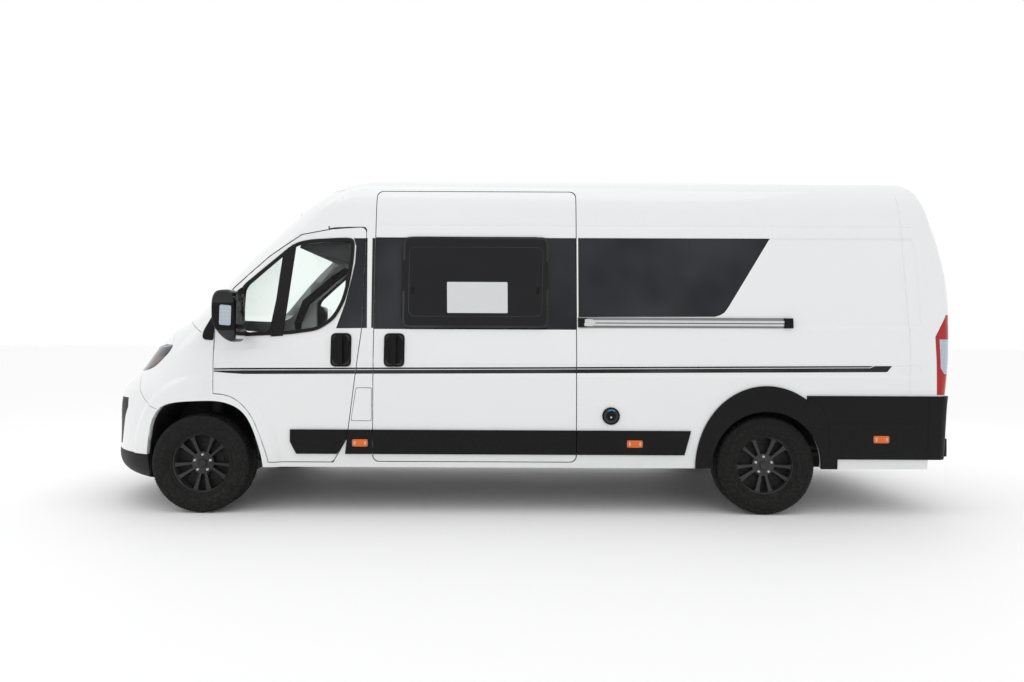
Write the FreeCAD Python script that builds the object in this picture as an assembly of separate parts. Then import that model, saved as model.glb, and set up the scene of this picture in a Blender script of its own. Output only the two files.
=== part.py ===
import FreeCAD
import Part
import math
import os

# Camper van on a high-roof panel van. Millimetres, front at -X, left side at -Y, up at +Z.
# The origin is on the ground, under the middle of the whole vehicle.

# Whole vehicle
length = 6363.0
half_width = 1008.0
height = 2524.0
wheelbase = 4035.0
front_overhang = 948.0
front_track = 1810.0
rear_track = 1790.0
ground = 0.0
wall = 60.0
skin = 25.0
door_gap = 6.0
fit = 0.3
overrun = 400.0
corner_room_share = 0.45
mirror_edge_share = 0.8

# Body levels
chin_height = 232.0
cowl_height = 1386.0
eaves_height = 2210.0
roof_joint = 2350.0
sill_height = 334.0
corner_radius = 90.0
rear_bow = 25.0
roof_cap = 80.0

# Each level: share of height, share of overhang the nose stands back, share of overhang the corners
# sweep back, share of half width, share of overhang the tail stands forward. The tail scale share sets how
# far all tails stand forward.
tail_scale_share = 0.687
nose_limit_share = 0.98
lower_level_shares = [
    (0.0919, 0.1044, 0.836, 0.967, 0.128),
    (0.1042, 0.0411, 0.836, 0.973, 0.112),
    (0.1228, 0.0042, 0.836, 0.980, 0.097),
    (0.1783, 0.0000, 0.836, 0.995, 0.081),
    (0.2536, 0.0042, 0.836, 0.999, 0.073),
    (0.3284, 0.0243, 0.823, 1.000, 0.060),
    (0.3419, 0.0369, 0.812, 1.000, 0.056),
]
middle_level_shares = [
    (0.3419, 0.0369, 0.812, 1.000, 0.056),
    (0.3538, 0.0654, 0.802, 1.000, 0.053),
    (0.3863, 0.1635, 0.749, 0.999, 0.044),
    (0.4350, 0.2785, 0.675, 0.996, 0.031),
    (0.4754, 0.3713, 0.617, 0.988, 0.023),
    (0.5139, 0.4958, 0.554, 0.979, 0.017),
    (0.5491, 0.6519, 0.485, 0.972, 0.015),
]
upper_level_shares = [
    (0.5491, 0.6519, 0.485, 0.972, 0.015),
    (0.6498, 0.9409, 0.407, 0.950, 0.017),
    (0.7528, 1.1920, 0.404, 0.926, 0.060),
    (0.8162, 1.3713, 0.404, 0.909, 0.102),
    (0.8756, 1.5348, 0.404, 0.890, 0.144),
]
roof_level_shares = [
    (0.8756, 1.5348, 0.404, 0.890, 0.144),
    (0.9113, 1.6530, 0.401, 0.859, 0.176),
    (0.9429, 1.7795, 0.390, 0.801, 0.207),
    (0.9695, 1.9483, 0.369, 0.675, 0.255),
    (0.9865, 2.1118, 0.316, 0.446, 0.308),
    (0.9972, 2.2911, 0.200, 0.198, 0.381),
    (0.9996, 2.3755, 0.080, 0.079, 0.424),
]

# Wheels and tyres
tyre_radius = 353.5
tyre_width = 215.0
tyre_shoulder = 34.0
tyre_bead = 6.0
tyre_bulge = 11.0
rim_radius = 222.0
rim_seat_radius = 203.0
rim_width = 190.0
rim_wall = 9.0
rim_lip = 9.0
spoke_pairs = 5
spoke_split_deg = 14.0
spoke_width = 26.0
spoke_depth = 34.0
spoke_inset = 28.0
hub_face_radius = 82.0
hub_face_inset = 42.0
hub_depth = 46.0
centre_cap_radius = 30.0
centre_cap_depth = 14.0
bolt_circle = 118.0
bolt_radius = 9.0
wheel_bore_radius = 36.0

# Wheel arches. The front opening and the door's cut above it are curves through shares of their half
# length and their rise above the wheel's centre.
front_arch_half = 450.0
front_arch_rise = 450.0
front_arch_shares = [
    (-0.878, 0.154), (-0.842, 0.437), (-0.787, 0.654), (-0.613, 0.899), (-0.449, 0.961), (-0.169, 0.992),
    (0.171, 0.999), (0.427, 0.966), (0.684, 0.821), (0.791, 0.670), (0.896, 0.414), (0.973, 0.132),
    (0.998, -0.094),
]
door_arch_half = 490.0
door_arch_rise = 505.0
door_arch_shares = [
    (-0.408, 1.003), (0.0, 1.005), (0.186, 0.997), (0.369, 0.981), (0.506, 0.930), (0.643, 0.825),
    (0.782, 0.635), (0.861, 0.462), (0.939, 0.252), (1.0, 0.037), (1.014, -0.106),
]
liner_lap = 2.0
rear_arch_radius = 408.0
rear_arch_foot_share = 0.93
flare_half_length = 505.0
flare_top = 925.0
housing_wall = 8.0
front_housing_inner = 560.0
rear_housing_inner = 711.0

# Cab doors, places from the front axle
door_front = 94.0
door_bottom = 372.0
door_top = 2060.0
door_rear_top = 1161.0
door_rear_waist = 1143.0
door_rear_low = 1044.0
door_rear_foot = 945.0
door_shoulder_height = 1401.0
door_waist_height = 1341.0
door_low_height = 542.0
pillar_bend_one = 202.0
pillar_bend_one_height = 1610.0
pillar_bend_two = 469.0
pillar_bend_two_height = 1844.0
pillar_bend_three = 695.0
pillar_bend_three_height = 2001.0
pillar_bend_four = 918.0
pillar_bend_four_height = 2044.0
door_corner = 40.0
door_flange = 15.0
door_step = 12.0
seal_width = 20.0
seal_depth = 8.0
window_bottom = 1268.0
window_top = 1974.0
window_front = 273.0
window_front_height = 1616.0
window_header = 646.0
window_header_height = 1935.0
window_rear_top = 1066.0
window_rear_waist = 1012.0
window_rear_waist_height = 1515.0
window_sweep = 829.0
window_sweep_height = 1313.0
window_corner = 35.0
glass_thickness = 8.0
glass_set_back = 4.0
glass_gap = 0.3

# Sliding door and side windows, places from the front axle
slider_front = 1233.0
slider_rear = 2678.0
slider_bottom = 378.0
slider_top = 2332.0
slider_corner = 45.0
slider_gap = 6.0
side_window_front = 1424.0
side_window_rear = 2480.0
side_window_bottom = 1328.0
side_window_top = 1990.0
side_window_corner = 90.0
side_window_bulge = 12.0
rail_front = 2690.0
rail_rear = 4228.0
rail_bottom = 1338.0
rail_top = 1408.0
rail_depth = 22.0

# Lower mouldings, flares and cladding
moulding_bottom = 430.0
moulding_top = 603.0
moulding_depth = 15.0
door_moulding_front = 645.0
rear_moulding_end = 3494.0
cladding_top = 857.0
cladding_bottom = 405.0
cladding_rear = 5188.0
marker_length = 112.0
marker_height = 52.0
marker_proud = 3.0
marker_front = 1143.0
marker_middle = 3095.0
marker_rear = 4845.0
marker_height_low = 510.0
marker_height_rear = 549.0
filler_cap_radius = 62.0
filler_cap_depth = 12.0
filler_cap_from_axle = 2926.0
filler_cap_height = 707.0

# Fuel flap, places from the front axle
flap_front = 1078.0
flap_front_top = 1112.0
flap_rear = 1218.0
flap_bottom = 668.0
flap_top = 898.0
flap_thickness = 18.0
flap_gap = 5.0
flap_corner = 12.0

# Front end
headlamp_inner = 600.0
headlamp_width = 329.0
headlamp_bottom = 985.0
headlamp_height = 211.0
headlamp_depth = 90.0
headlamp_lower_shares = [
    (0.0, 0.0), (0.48, 0.095), (0.70, 0.156), (0.84, 0.27), (0.918, 0.441), (0.973, 0.63), (1.0, 0.815),
    (0.979, 0.986),
]
headlamp_upper_shares = [(0.979, 0.986), (0.766, 1.0), (0.492, 0.929), (0.167, 0.853), (0.0, 0.83)]
bonnet_front = 905.0
bonnet_gap = 6.5
bonnet_lip = 7.0
bonnet_lip_width = 48.0
bonnet_edge_shares = [
    (0.889, 0.4794), (0.878, 0.4877), (0.829, 0.5012), (0.768, 0.5115), (0.6875, 0.5190),
    (0.446, 0.5277), (0.0, 0.5341),
]
wing_top = 1374.0
cowl_half = 800.0
pillar_foot_shares = [(-0.1466, 0.990), (0.0105, 0.931), (0.042, 0.892)]
bumper_rear = -386.0
seam_top_shares = (-0.591, 0.794)
bumper_seam_shares = [
    (-0.568, 0.698), (-0.538, 0.665), (-0.514, 0.631), (-0.464, 0.588), (-0.399, 0.551), (-0.316, 0.534),
]
bumper_lower_top = 415.0
grille_bottom = 421.0
grille_top = 800.0
grille_half_bottom = 430.0
grille_half_top = 560.0
grille_bar = 16.0
grille_pitch = 38.0
grille_depth = 22.0
screen_bottom = 1412.0
screen_top = 2190.0
screen_half_bottom = 838.0
screen_half_top = 775.0
screen_corner = 70.0

# Rear end
rear_door_half = 868.0
rear_door_half_top = 826.0
rear_door_bottom = 546.0
rear_door_top = 2325.0
rear_door_depth = 300.0
rear_window_bottom = 1345.0
rear_window_top = 1935.0
rear_window_inner = 95.0
rear_window_outer = 745.0
lamp_bottom = 866.0
lamp_top = 1438.0
lamp_shoulder = 1280.0
lamp_inner = 876.0
lamp_wrap = 170.0
rear_bumper_top = 857.0
rear_bumper_bottom = 405.0
rear_bumper_step = 538.0
rear_step_depth = 120.0
rear_step_round = 20.0

# Cab and floor
floor_top = 535.0
floor_thickness = 60.0
floor_front = 150.0
cab_floor_end = 1180.0
cab_floor_drop = 20.0
bulkhead_top = 1230.0
bulkhead_thickness = 20.0
bulkhead_half = 540.0
rail_half_spacing = 430.0
chassis_rail_width = 70.0
chassis_rail_height = 110.0
tow_hole_radius = 6.5
tow_hole_spacing = 120.0
tow_hole_from_end = 90.0
chassis_rail_inset = 142.0
seat_half_spacing = 430.0
seat_width = 480.0
seat_front = 540.0
seat_length = 500.0
seat_top = 960.0
seat_cushion = 120.0
seat_base_width = 380.0
seat_base_length = 400.0
seat_back_height = 620.0
seat_back_thickness = 110.0
seat_back_width = 470.0
seat_lean_deg = 14.0
headrest_width = 270.0
headrest_height = 170.0
headrest_thickness = 80.0
seat_round = 30.0
dash_top = 1290.0
dash_bottom = 820.0
dash_front = -230.0
dash_rear = 420.0
dash_lip = 120.0
steering_wheel_radius = 190.0
steering_rim_radius = 15.0
steering_tilt_deg = 32.0
steering_height = 1162.0
steering_from_axle = 500.0
steering_boss_radius = 70.0
steering_column_radius = 28.0
steering_column_length = 220.0

# Machinery
engine_front = -620.0
engine_rear = -80.0
engine_half = 370.0
engine_bottom = 275.3
engine_top = 980.0
radiator_from_axle = -800.0
radiator_thickness = 60.0
radiator_half = 400.0
radiator_bottom = 430.0
radiator_top = 850.0
slam_panel_height = 40.0
kingpin_inset = 45.0
knuckle_radius = 36.0
knuckle_bottom = 235.0
knuckle_top = 478.0
strut_radius = 24.0
strut_from_middle = 690.0
spring_coil_radius = 58.0
strut_top = 775.0
upper_arm_height = 24.0
upper_arm_width = 60.0
stub_radius = 33.0
stub_length = 20.0
bump_stop_radius = 16.0
bump_stop_spacing = 350.0
brake_disc_radius = 150.0
brake_disc_thickness = 26.0
subframe_half = 500.0
subframe_width = 420.0
subframe_bottom = 215.0
subframe_height = 60.0
arm_height = 32.0
arm_width = 70.0
arm_ball_radius = 20.0
tower_radius = 70.0
subframe_post = 60.0
rear_beam_radius = 38.0
rear_beam_drop = 62.0
rear_hub_radius = 62.0
rear_hub_length = 60.0
spring_half_length = 640.0
spring_width = 70.0
spring_thickness = 30.0
spring_half_spacing = 560.0
spring_sag = 90.0
hanger_width = 40.0
tank_front = 1500.0
tank_rear = 2250.0
tank_left = -415.0
tank_right = 140.0
tank_bottom = 250.0
tank_top = 470.0
tank_round = 45.0
exhaust_radius = 28.0
exhaust_side = 300.0
exhaust_height = 330.0
exhaust_front = 500.0
exhaust_rear = 3300.0
muffler_radius = 85.0
muffler_length = 520.0
muffler_from_axle = 2300.0
spare_from_axle = 4760.0
spare_bottom = 225.0
spare_bevel = 32.0

# Mirrors and handles
mirror_front = 174.0
mirror_length = 172.0
mirror_bottom = 1216.0
mirror_top = 1585.0
mirror_inner = 1052.0
mirror_outer = 1254.0
mirror_outline_shares = [
    (0.0, 0.81), (0.16, 0.985), (0.72, 1.0), (0.95, 0.76), (1.0, 0.06), (0.76, 0.0), (0.28, 0.15), (0.0, 0.47),
]
mirror_round = 22.0
mirror_arm_inset = 16.0
mirror_arm_width = 60.0
mirror_arm_height = 45.0
mirror_arm_low = 1262.0
mirror_arm_high = 1440.0
handle_from_axle = 1000.0
slider_handle_from_axle = 1380.0
handle_middle = 1170.0
handle_length = 205.0
handle_width = 36.0
handle_proud = 34.0
handle_bar = 14.0
handle_dish_width = 138.0
handle_dish_height = 234.0
handle_dish_proud = 6.0

front_x = -length / 2
rear_x = length / 2
axle_f = front_x + front_overhang
axle_r = axle_f + wheelbase
rear_overhang = rear_x - axle_r


def vec(x, y, z):
    return FreeCAD.Vector(x, y, z)


def box(x0, x1, y0, y1, z0, z1):
    return Part.makeBox(x1 - x0, y1 - y0, z1 - z0, vec(x0, y0, z0))


def cylinder(radius, start, end):
    return Part.makeCylinder(radius, (end - start).Length, start, end - start)


def mirror(shape):
    return shape.mirror(vec(0, 0, 0), vec(0, 1, 0))


def join(shapes):
    return shapes[0].multiFuse(shapes[1:]).removeSplitter() if len(shapes) > 1 else shapes[0]


def rounded_wire(points, radius):
    # A closed outline with every corner rounded by the radius, or by what its sides leave room for.
    edges = []
    starts = []
    ends = []
    count = len(points)
    for i in range(count):
        before, here, after = points[i - 1], points[i], points[(i + 1) % count]
        to_before = (before - here).normalize()
        to_after = (after - here).normalize()
        half = to_before.getAngle(to_after) / 2
        room = min((before - here).Length, (after - here).Length) * corner_room_share
        cut = min(radius / math.tan(half), room)
        middle = (to_before + to_after).normalize()
        reach = cut / math.cos(half)
        bulge = reach - cut * math.tan(half)
        starts.append(here + to_before * cut)
        ends.append(here + to_after * cut)
        edges.append(Part.Arc(starts[-1], here + middle * bulge, ends[-1]).toShape())
    outline = []
    for i in range(count):
        outline.append(edges[i])
        outline.append(Part.LineSegment(ends[i], starts[(i + 1) % count]).toShape())
    return Part.Wire(outline)


def prism(points, direction, radius=0.0):
    wire = rounded_wire(points, radius) if radius else Part.makePolygon(points + points[:1])
    return Part.Face(wire).extrude(direction)


def side_prism(outline, radius=0.0, side=-1):
    # Cuts through one side of the body: the outline is in places along X and heights.
    reach = half_width + overrun
    points = [vec(x, side * reach, z) for x, z in outline]
    return prism(points, vec(0, -side * reach, 0), radius)


def front_prism(outline, start, end, radius=0.0):
    # Cuts along the vehicle: the outline is in places across and heights.
    points = [vec(start, y, z) for y, z in outline]
    return prism(points, vec(end - start, 0, 0), radius)


def grown(outline, gap):
    # The outline moved outward by the gap, for the hole that a panel sits in.
    centre = vec(sum(p[0] for p in outline) / len(outline), sum(p[1] for p in outline) / len(outline), 0)
    wire = Part.makePolygon([vec(x, z, 0) for x, z in outline + outline[:1]])
    bigger = wire.makeOffset2D(gap, 2)
    if not Part.Face(bigger).isInside(centre, fit, True):
        return outline
    return [(v.Point.x, v.Point.y) for v in bigger.OrderedVertexes]


def level_wire(z, nose, sweep, half, tail, corner, bow):
    # One level of the body: a half ellipse round the nose, straight sides and a bowed tail.
    centre = nose + sweep
    ellipse = Part.Ellipse(vec(centre, half, z), vec(nose, 0, z), vec(centre, 0, z))
    front = Part.ArcOfEllipse(ellipse, 0, math.pi).toShape()
    corner_x = corner * (1 - math.sqrt(0.5)) + bow * math.sqrt(0.5)
    corner_y = corner * (1 - math.sqrt(0.5))
    edges = [
        front,
        Part.LineSegment(vec(centre, -half, z), vec(tail - corner, -half, z)).toShape(),
        Part.Arc(vec(tail - corner, -half, z), vec(tail - corner_x, corner_y - half, z),
                 vec(tail - bow, corner - half, z)).toShape(),
        Part.Arc(vec(tail - bow, corner - half, z), vec(tail, 0, z),
                 vec(tail - bow, half - corner, z)).toShape(),
        Part.Arc(vec(tail - bow, half - corner, z), vec(tail - corner_x, half - corner_y, z),
                 vec(tail - corner, half, z)).toShape(),
        Part.LineSegment(vec(tail - corner, half, z), vec(centre, half, z)).toShape(),
    ]
    return Part.Wire(edges)


def loft_levels(levels, inset, top_drop=0.0):
    wires = []
    base = levels[0][0] * height
    top = levels[-1][0] * height
    for height_share, nose_share, sweep_share, width_share, tail_share in levels:
        z = height_share * height
        z -= top_drop * (z - base) / (top - base)
        half = max(width_share * half_width - inset, roof_cap)
        sweep = min(sweep_share * front_overhang - inset / 2, half * nose_limit_share)
        nose = front_x + nose_share * front_overhang + inset
        tail = rear_x - tail_share * rear_overhang * tail_scale_share - inset
        corner = min(corner_radius, half / 2)
        wires.append(level_wire(z, nose, sweep, half, tail, corner, min(rear_bow, corner / 2)))
    return Part.makeLoft(wires, True, False)


envelopes = {}


def envelope(inset):
    # The whole outer body form, moved inward by the inset.
    if inset not in envelopes:
        lower = loft_levels(lower_level_shares, inset)
        middle = loft_levels(middle_level_shares, inset)
        upper = loft_levels(upper_level_shares, inset)
        roof = loft_levels(roof_level_shares, inset, max(inset, 0.0))
        envelopes[inset] = lower.multiFuse([middle, upper, roof])
    return envelopes[inset]


def shell(inset, depth, cutter):
    # The part of the body's skin, from the inset to the depth below it, that lies in the cutter.
    return cutter.common(envelope(inset)).cut(envelope(inset + depth))


def solids_of(shape, least_share=0.02):
    # The real solids of a cut, without slivers.
    solids = sorted(shape.Solids, key=lambda s: s.Volume, reverse=True)
    kept = [s for s in solids if s.Volume > solids[0].Volume * least_share]
    return kept[0] if len(kept) == 1 else Part.makeCompound(kept)


def moved_out(places, margin):
    # The places of an open line, read clockwise, each moved outward by the margin.
    moved = []
    last = len(places) - 1
    for i, (x, z) in enumerate(places):
        x0, z0 = places[max(i - 1, 0)]
        x1, z1 = places[min(i + 1, last)]
        run = math.hypot(x1 - x0, z1 - z0)
        moved.append((x - (z1 - z0) / run * margin, z + (x1 - x0) / run * margin))
    return moved


def curve_edge(points):
    curve = Part.BSplineCurve()
    curve.interpolate(points)
    return curve.toShape()


def line_edges(points):
    return [Part.LineSegment(a, b).toShape() for a, b in zip(points, points[1:])]


def arch_prism(side, shares, half, rise, margin):
    # A wheel opening: a smooth curve over the wheel, and straight down to the ground at both ends.
    reach = side * (half_width + overrun)
    places = moved_out([(x * half, z * rise) for x, z in shares], margin)
    points = [vec(axle_f + x, reach, tyre_radius + z) for x, z in places]
    foot = [points[-1], vec(points[-1].x, reach, ground), vec(points[0].x, reach, ground), points[0]]
    wire = Part.Wire([curve_edge(points)] + line_edges(foot))
    return Part.Face(wire).extrude(vec(0, -reach, 0))


def circle_cutter(x, z, radius, side=-1):
    reach = half_width + overrun
    return cylinder(radius, vec(x, side * reach, z), vec(x, 0, z))


def cab_door_outline():
    return [
        (axle_f + door_front, door_bottom),
        (axle_f + door_front, door_shoulder_height),
        (axle_f + pillar_bend_one, pillar_bend_one_height),
        (axle_f + pillar_bend_two, pillar_bend_two_height),
        (axle_f + pillar_bend_three, pillar_bend_three_height),
        (axle_f + pillar_bend_four, pillar_bend_four_height),
        (axle_f + door_rear_top, door_top),
        (axle_f + door_rear_waist, door_waist_height),
        (axle_f + door_rear_low, door_low_height),
        (axle_f + door_rear_foot, door_bottom),
    ]


def window_outline():
    return [
        (axle_f + window_front, window_bottom),
        (axle_f + window_front, window_front_height),
        (axle_f + window_header, window_header_height),
        (axle_f + window_rear_top, window_top),
        (axle_f + window_rear_waist, window_rear_waist_height),
        (axle_f + window_sweep, window_sweep_height),
    ]


def panel(outer, inner):
    # A door: its outer skin laps over the narrower box behind it, which fits inside the seal.
    box_part = shell(door_flange - fit, wall - door_flange + fit, inner)
    return shell(0, door_flange, outer).fuse(box_part)


def cab_door_cutter(side, margin, radius=0.0):
    outline = grown(cab_door_outline(), margin) if margin else cab_door_outline()
    cutter = side_prism(outline, radius, side)
    return cutter.cut(arch_prism(side, door_arch_shares, door_arch_half, door_arch_rise, -margin))


def cab_door(side):
    door = panel(cab_door_cutter(side, 0, door_corner), cab_door_cutter(side, -door_step, door_corner))
    window = side_prism(window_outline(), window_corner, side)
    return solids_of(door.cut(window))


def cab_glass(side):
    cutter = side_prism(grown(window_outline(), -glass_gap), window_corner, side)
    return solids_of(shell(glass_set_back, glass_thickness, cutter))


def rear_door_outline(sign, margin):
    inner = door_gap / 2 - margin
    return [
        (sign * inner, rear_door_bottom - margin),
        (sign * (rear_door_half + margin), rear_door_bottom - margin),
        (sign * (rear_door_half + margin), cowl_height),
        (sign * (rear_door_half_top + margin), rear_door_top + margin),
        (sign * inner, rear_door_top + margin),
    ]


def rear_pair_outline(margin):
    right = rear_door_outline(1, margin)[1:4]
    return right + [(-y, z) for y, z in reversed(right)]


def rear_window_outline(sign, margin):
    return [
        (sign * (rear_window_inner - margin), rear_window_bottom - margin),
        (sign * (rear_window_outer + margin), rear_window_bottom - margin),
        (sign * (rear_window_outer + margin), rear_window_top + margin),
        (sign * (rear_window_inner - margin), rear_window_top + margin),
    ]


def rear_prism(outline, radius=0.0):
    return front_prism(outline, rear_x - rear_door_depth, rear_x + overrun, radius)


def rear_door(sign):
    door = panel(rear_prism(rear_door_outline(sign, 0)), rear_prism(rear_door_outline(sign, -door_step)))
    return solids_of(door.cut(rear_prism(rear_window_outline(sign, 0), window_corner)))


def rear_glass(sign):
    cutter = rear_prism(rear_window_outline(sign, -glass_gap), window_corner)
    return solids_of(shell(glass_set_back, glass_thickness, cutter))


def slider_outline(margin):
    return [
        (axle_f + slider_front - margin, slider_bottom - margin),
        (axle_f + slider_front - margin, slider_top + margin),
        (axle_f + slider_rear + margin, slider_top + margin),
        (axle_f + slider_rear + margin, slider_bottom - margin),
    ]


def side_window_outline(margin):
    return [
        (axle_f + side_window_front - margin, side_window_bottom - margin),
        (axle_f + side_window_front - margin, side_window_top + margin),
        (axle_f + side_window_rear + margin, side_window_top + margin),
        (axle_f + side_window_rear + margin, side_window_bottom - margin),
    ]


def flap_outline():
    return [
        (axle_f + flap_front, flap_bottom),
        (axle_f + flap_front_top, flap_top),
        (axle_f + flap_rear, flap_top),
        (axle_f + flap_rear, flap_bottom),
    ]


def rear_arch(radius, side):
    arch = circle_cutter(axle_r, tyre_radius, radius, side)
    reach = half_width + overrun
    y0, y1 = sorted((side * reach, 0))
    half = radius * rear_arch_foot_share
    return arch.fuse(box(axle_r - half, axle_r + half, y0, y1, ground, tyre_radius))


def front_arch(side, margin=0.0):
    return arch_prism(side, front_arch_shares, front_arch_half, front_arch_rise, margin)


def lamp_edge(shares, sign, margin):
    # One edge of the headlamp as seen from the front, from its inner end outward or back.
    places = [(headlamp_inner + a * headlamp_width, headlamp_bottom + b * headlamp_height) for a, b in shares]
    return [(sign * y, z) for y, z in moved_out(places, -margin)]


def lamp_cutter(sign, margin):
    # Swept back round the corner: a leaf with a curved lower edge and its tip at the upper rear.
    x = front_x - overrun
    lower = [vec(x, y, z) for y, z in lamp_edge(headlamp_lower_shares, sign, margin)]
    upper = [vec(x, y, z) for y, z in lamp_edge(headlamp_upper_shares, sign, margin)]
    inner = sign * (headlamp_inner - margin)
    lower[0] = vec(x, inner, lower[0].z)
    upper[-1] = vec(x, inner, upper[-1].z)
    upper[0] = lower[-1]
    wire = Part.Wire([curve_edge(lower), curve_edge(upper)] + line_edges([upper[-1], lower[0]]))
    return Part.Face(wire).extrude(vec(axle_f + bumper_rear / 2 - x, 0, 0))


def tail_lamp_cutter(side, margin):
    outline = [
        (rear_x - lamp_wrap - margin, lamp_bottom - margin),
        (rear_x - lamp_wrap - margin, lamp_shoulder + margin),
        (rear_x - lamp_wrap / 2, lamp_top + margin),
        (rear_x + lamp_wrap, lamp_top + margin),
        (rear_x + lamp_wrap, lamp_bottom - margin),
    ]
    reach = half_width + overrun
    y0, y1 = sorted((side * (lamp_inner - margin), side * reach))
    return side_prism(outline, 0.0, side).common(box(front_x, rear_x + overrun, y0, y1, ground, height))


def bonnet_prism(margin):
    # The bonnet as seen from the front: between the headlamps, over their tops, and up to the cowl.
    back = bonnet_gap - margin
    half = [(headlamp_inner - back, bonnet_front - margin)]
    half += [(y - back, z + back) for y, z in reversed(lamp_edge(headlamp_upper_shares, 1, 0))]
    half += [(y * half_width + margin, z * height + margin) for y, z in bonnet_edge_shares]
    outline = half[:-1] + [(-y, z) for y, z in reversed(half[:-1])]
    return front_prism(outline, front_x - overrun, axle_f + door_front - door_gap)


def bonnet():
    # Thin along its rear edge, so that it clears the wings and the cowl as it swings up.
    lowered = bonnet_prism(0)
    lowered.translate(vec(0, 0, -bonnet_lip_width))
    middle = shell(0, skin, bonnet_prism(0).common(lowered))
    return solids_of(middle.fuse(shell(0, bonnet_lip, bonnet_prism(0))))


def bumper_prism(margin):
    # The front bumper as seen from the side: its rear seam curves from the headlamp to the arch.
    seam = [(axle_f + x * front_overhang + margin, z * cowl_height) for x, z in bumper_seam_shares]
    top = (axle_f + seam_top_shares[0] * front_overhang + margin, seam_top_shares[1] * cowl_height)
    outline = [
        (front_x - overrun, bumper_lower_top + fit - margin),
        (axle_f + bumper_rear / 2, bumper_lower_top + fit - margin),
        (axle_f + bumper_rear / 2, seam[-1][1]),
    ]
    outline += list(reversed(seam)) + [top, (front_x - overrun, top[1])]
    reach = half_width + overrun
    return prism([vec(x, -reach, z) for x, z in outline], vec(0, reach * 2, 0))


def pillar_foot(side, margin):
    # The foot of the windscreen pillar between the wing's sloping top and the door.
    outline = [(axle_f + x * front_overhang - margin, z * cowl_height - margin) for x, z in pillar_foot_shares]
    outline += [(axle_f + door_front + margin, outline[-1][1]),
                (axle_f + door_front + margin, wing_top + door_gap), (outline[0][0], wing_top + door_gap)]
    return side_prism(outline, 0.0, side)


def cowl_block(margin):
    half = cowl_half + margin
    return box(front_x - overrun, axle_f + door_front, -half, half, headlamp_bottom + headlamp_height,
               wing_top + door_gap)


def front_wing(side):
    reach = half_width + overrun
    y0, y1 = sorted((side * reach, 0))
    region = box(axle_f + seam_top_shares[0] * front_overhang, axle_f + door_arch_half, y0, y1, sill_height,
                 wing_top)
    region = region.cut(box(front_x, axle_f, y0, y1, ground, bumper_seam_shares[-1][1] * cowl_height - fit))
    wing = shell(0, skin, region)
    wing = wing.cut(cab_door_cutter(side, door_gap)).cut(front_arch(side)).cut(bonnet_prism(bonnet_gap))
    wing = wing.cut(bumper_prism(fit)).cut(pillar_foot(side, fit)).cut(cowl_block(fit))
    return solids_of(wing.cut(lamp_cutter(side, fit)))


def grille_outline(margin):
    return [
        (-grille_half_bottom - margin, grille_bottom - margin),
        (grille_half_bottom + margin, grille_bottom - margin),
        (grille_half_top + margin, grille_top + margin),
        (-grille_half_top - margin, grille_top + margin),
    ]


def front_bumper():
    bumper = shell(0, skin, bumper_prism(0)).cut(bonnet_prism(bonnet_gap))
    for sign in (-1, 1):
        bumper = bumper.cut(lamp_cutter(sign, fit)).cut(front_arch(sign))
    hole = front_prism(grille_outline(fit), front_x - overrun, axle_f + bumper_rear)
    return solids_of(bumper.cut(hole))


def lower_bumper():
    reach = half_width + overrun
    region = box(front_x - overrun, axle_f + bumper_rear / 2, -reach, reach, chin_height,
                 bumper_lower_top)
    skirt = shell(0, skin, region)
    return solids_of(skirt.cut(front_arch(-1)).cut(front_arch(1)))


def grille():
    # A frame with level slats and a middle post, inside the bumper's opening.
    start = front_x - overrun
    end = axle_f + bumper_rear
    whole = shell(fit, grille_depth, front_prism(grille_outline(0), start, end))
    cuts = []
    z = grille_bottom + grille_bar
    while z + grille_pitch - grille_bar < grille_top - grille_bar / 2:
        half = grille_half_bottom - grille_bar
        cuts.append(box(start, end, -half, -grille_bar / 2, z, z + grille_pitch - grille_bar))
        cuts.append(box(start, end, grille_bar / 2, half, z, z + grille_pitch - grille_bar))
        z += grille_pitch
    return solids_of(whole.cut(Part.makeCompound(cuts)))


def headlamps():
    lamps = [solids_of(shell(0, headlamp_depth, lamp_cutter(sign, 0))) for sign in (-1, 1)]
    return Part.makeCompound(lamps)


def screen_outline(margin):
    return [
        (-screen_half_bottom - margin, screen_bottom - margin),
        (screen_half_bottom + margin, screen_bottom - margin),
        (screen_half_top + margin, screen_top + margin),
        (-screen_half_top - margin, screen_top + margin),
    ]


def screen_prism(margin):
    return front_prism(screen_outline(margin), front_x, axle_f + door_rear_top, screen_corner)


def windscreen():
    return solids_of(shell(glass_set_back, glass_thickness, screen_prism(-glass_gap)))


def cab_frame():
    reach = half_width + overrun
    region = box(front_x - overrun, axle_f + slider_front - wall, -reach, reach, wing_top, roof_joint)
    post = box(axle_f + door_rear_foot - wall, rear_x, -reach, reach, ground, door_top + door_gap)
    region = region.cut(post).multiFuse([cowl_block(0), pillar_foot(-1, 0), pillar_foot(1, 0)])
    frame = shell(0, wall, region).cut(screen_prism(0)).cut(bonnet_prism(bonnet_gap))
    return solids_of(frame.cut(cab_door_cutter(-1, door_gap)).cut(cab_door_cutter(1, door_gap)))


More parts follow.
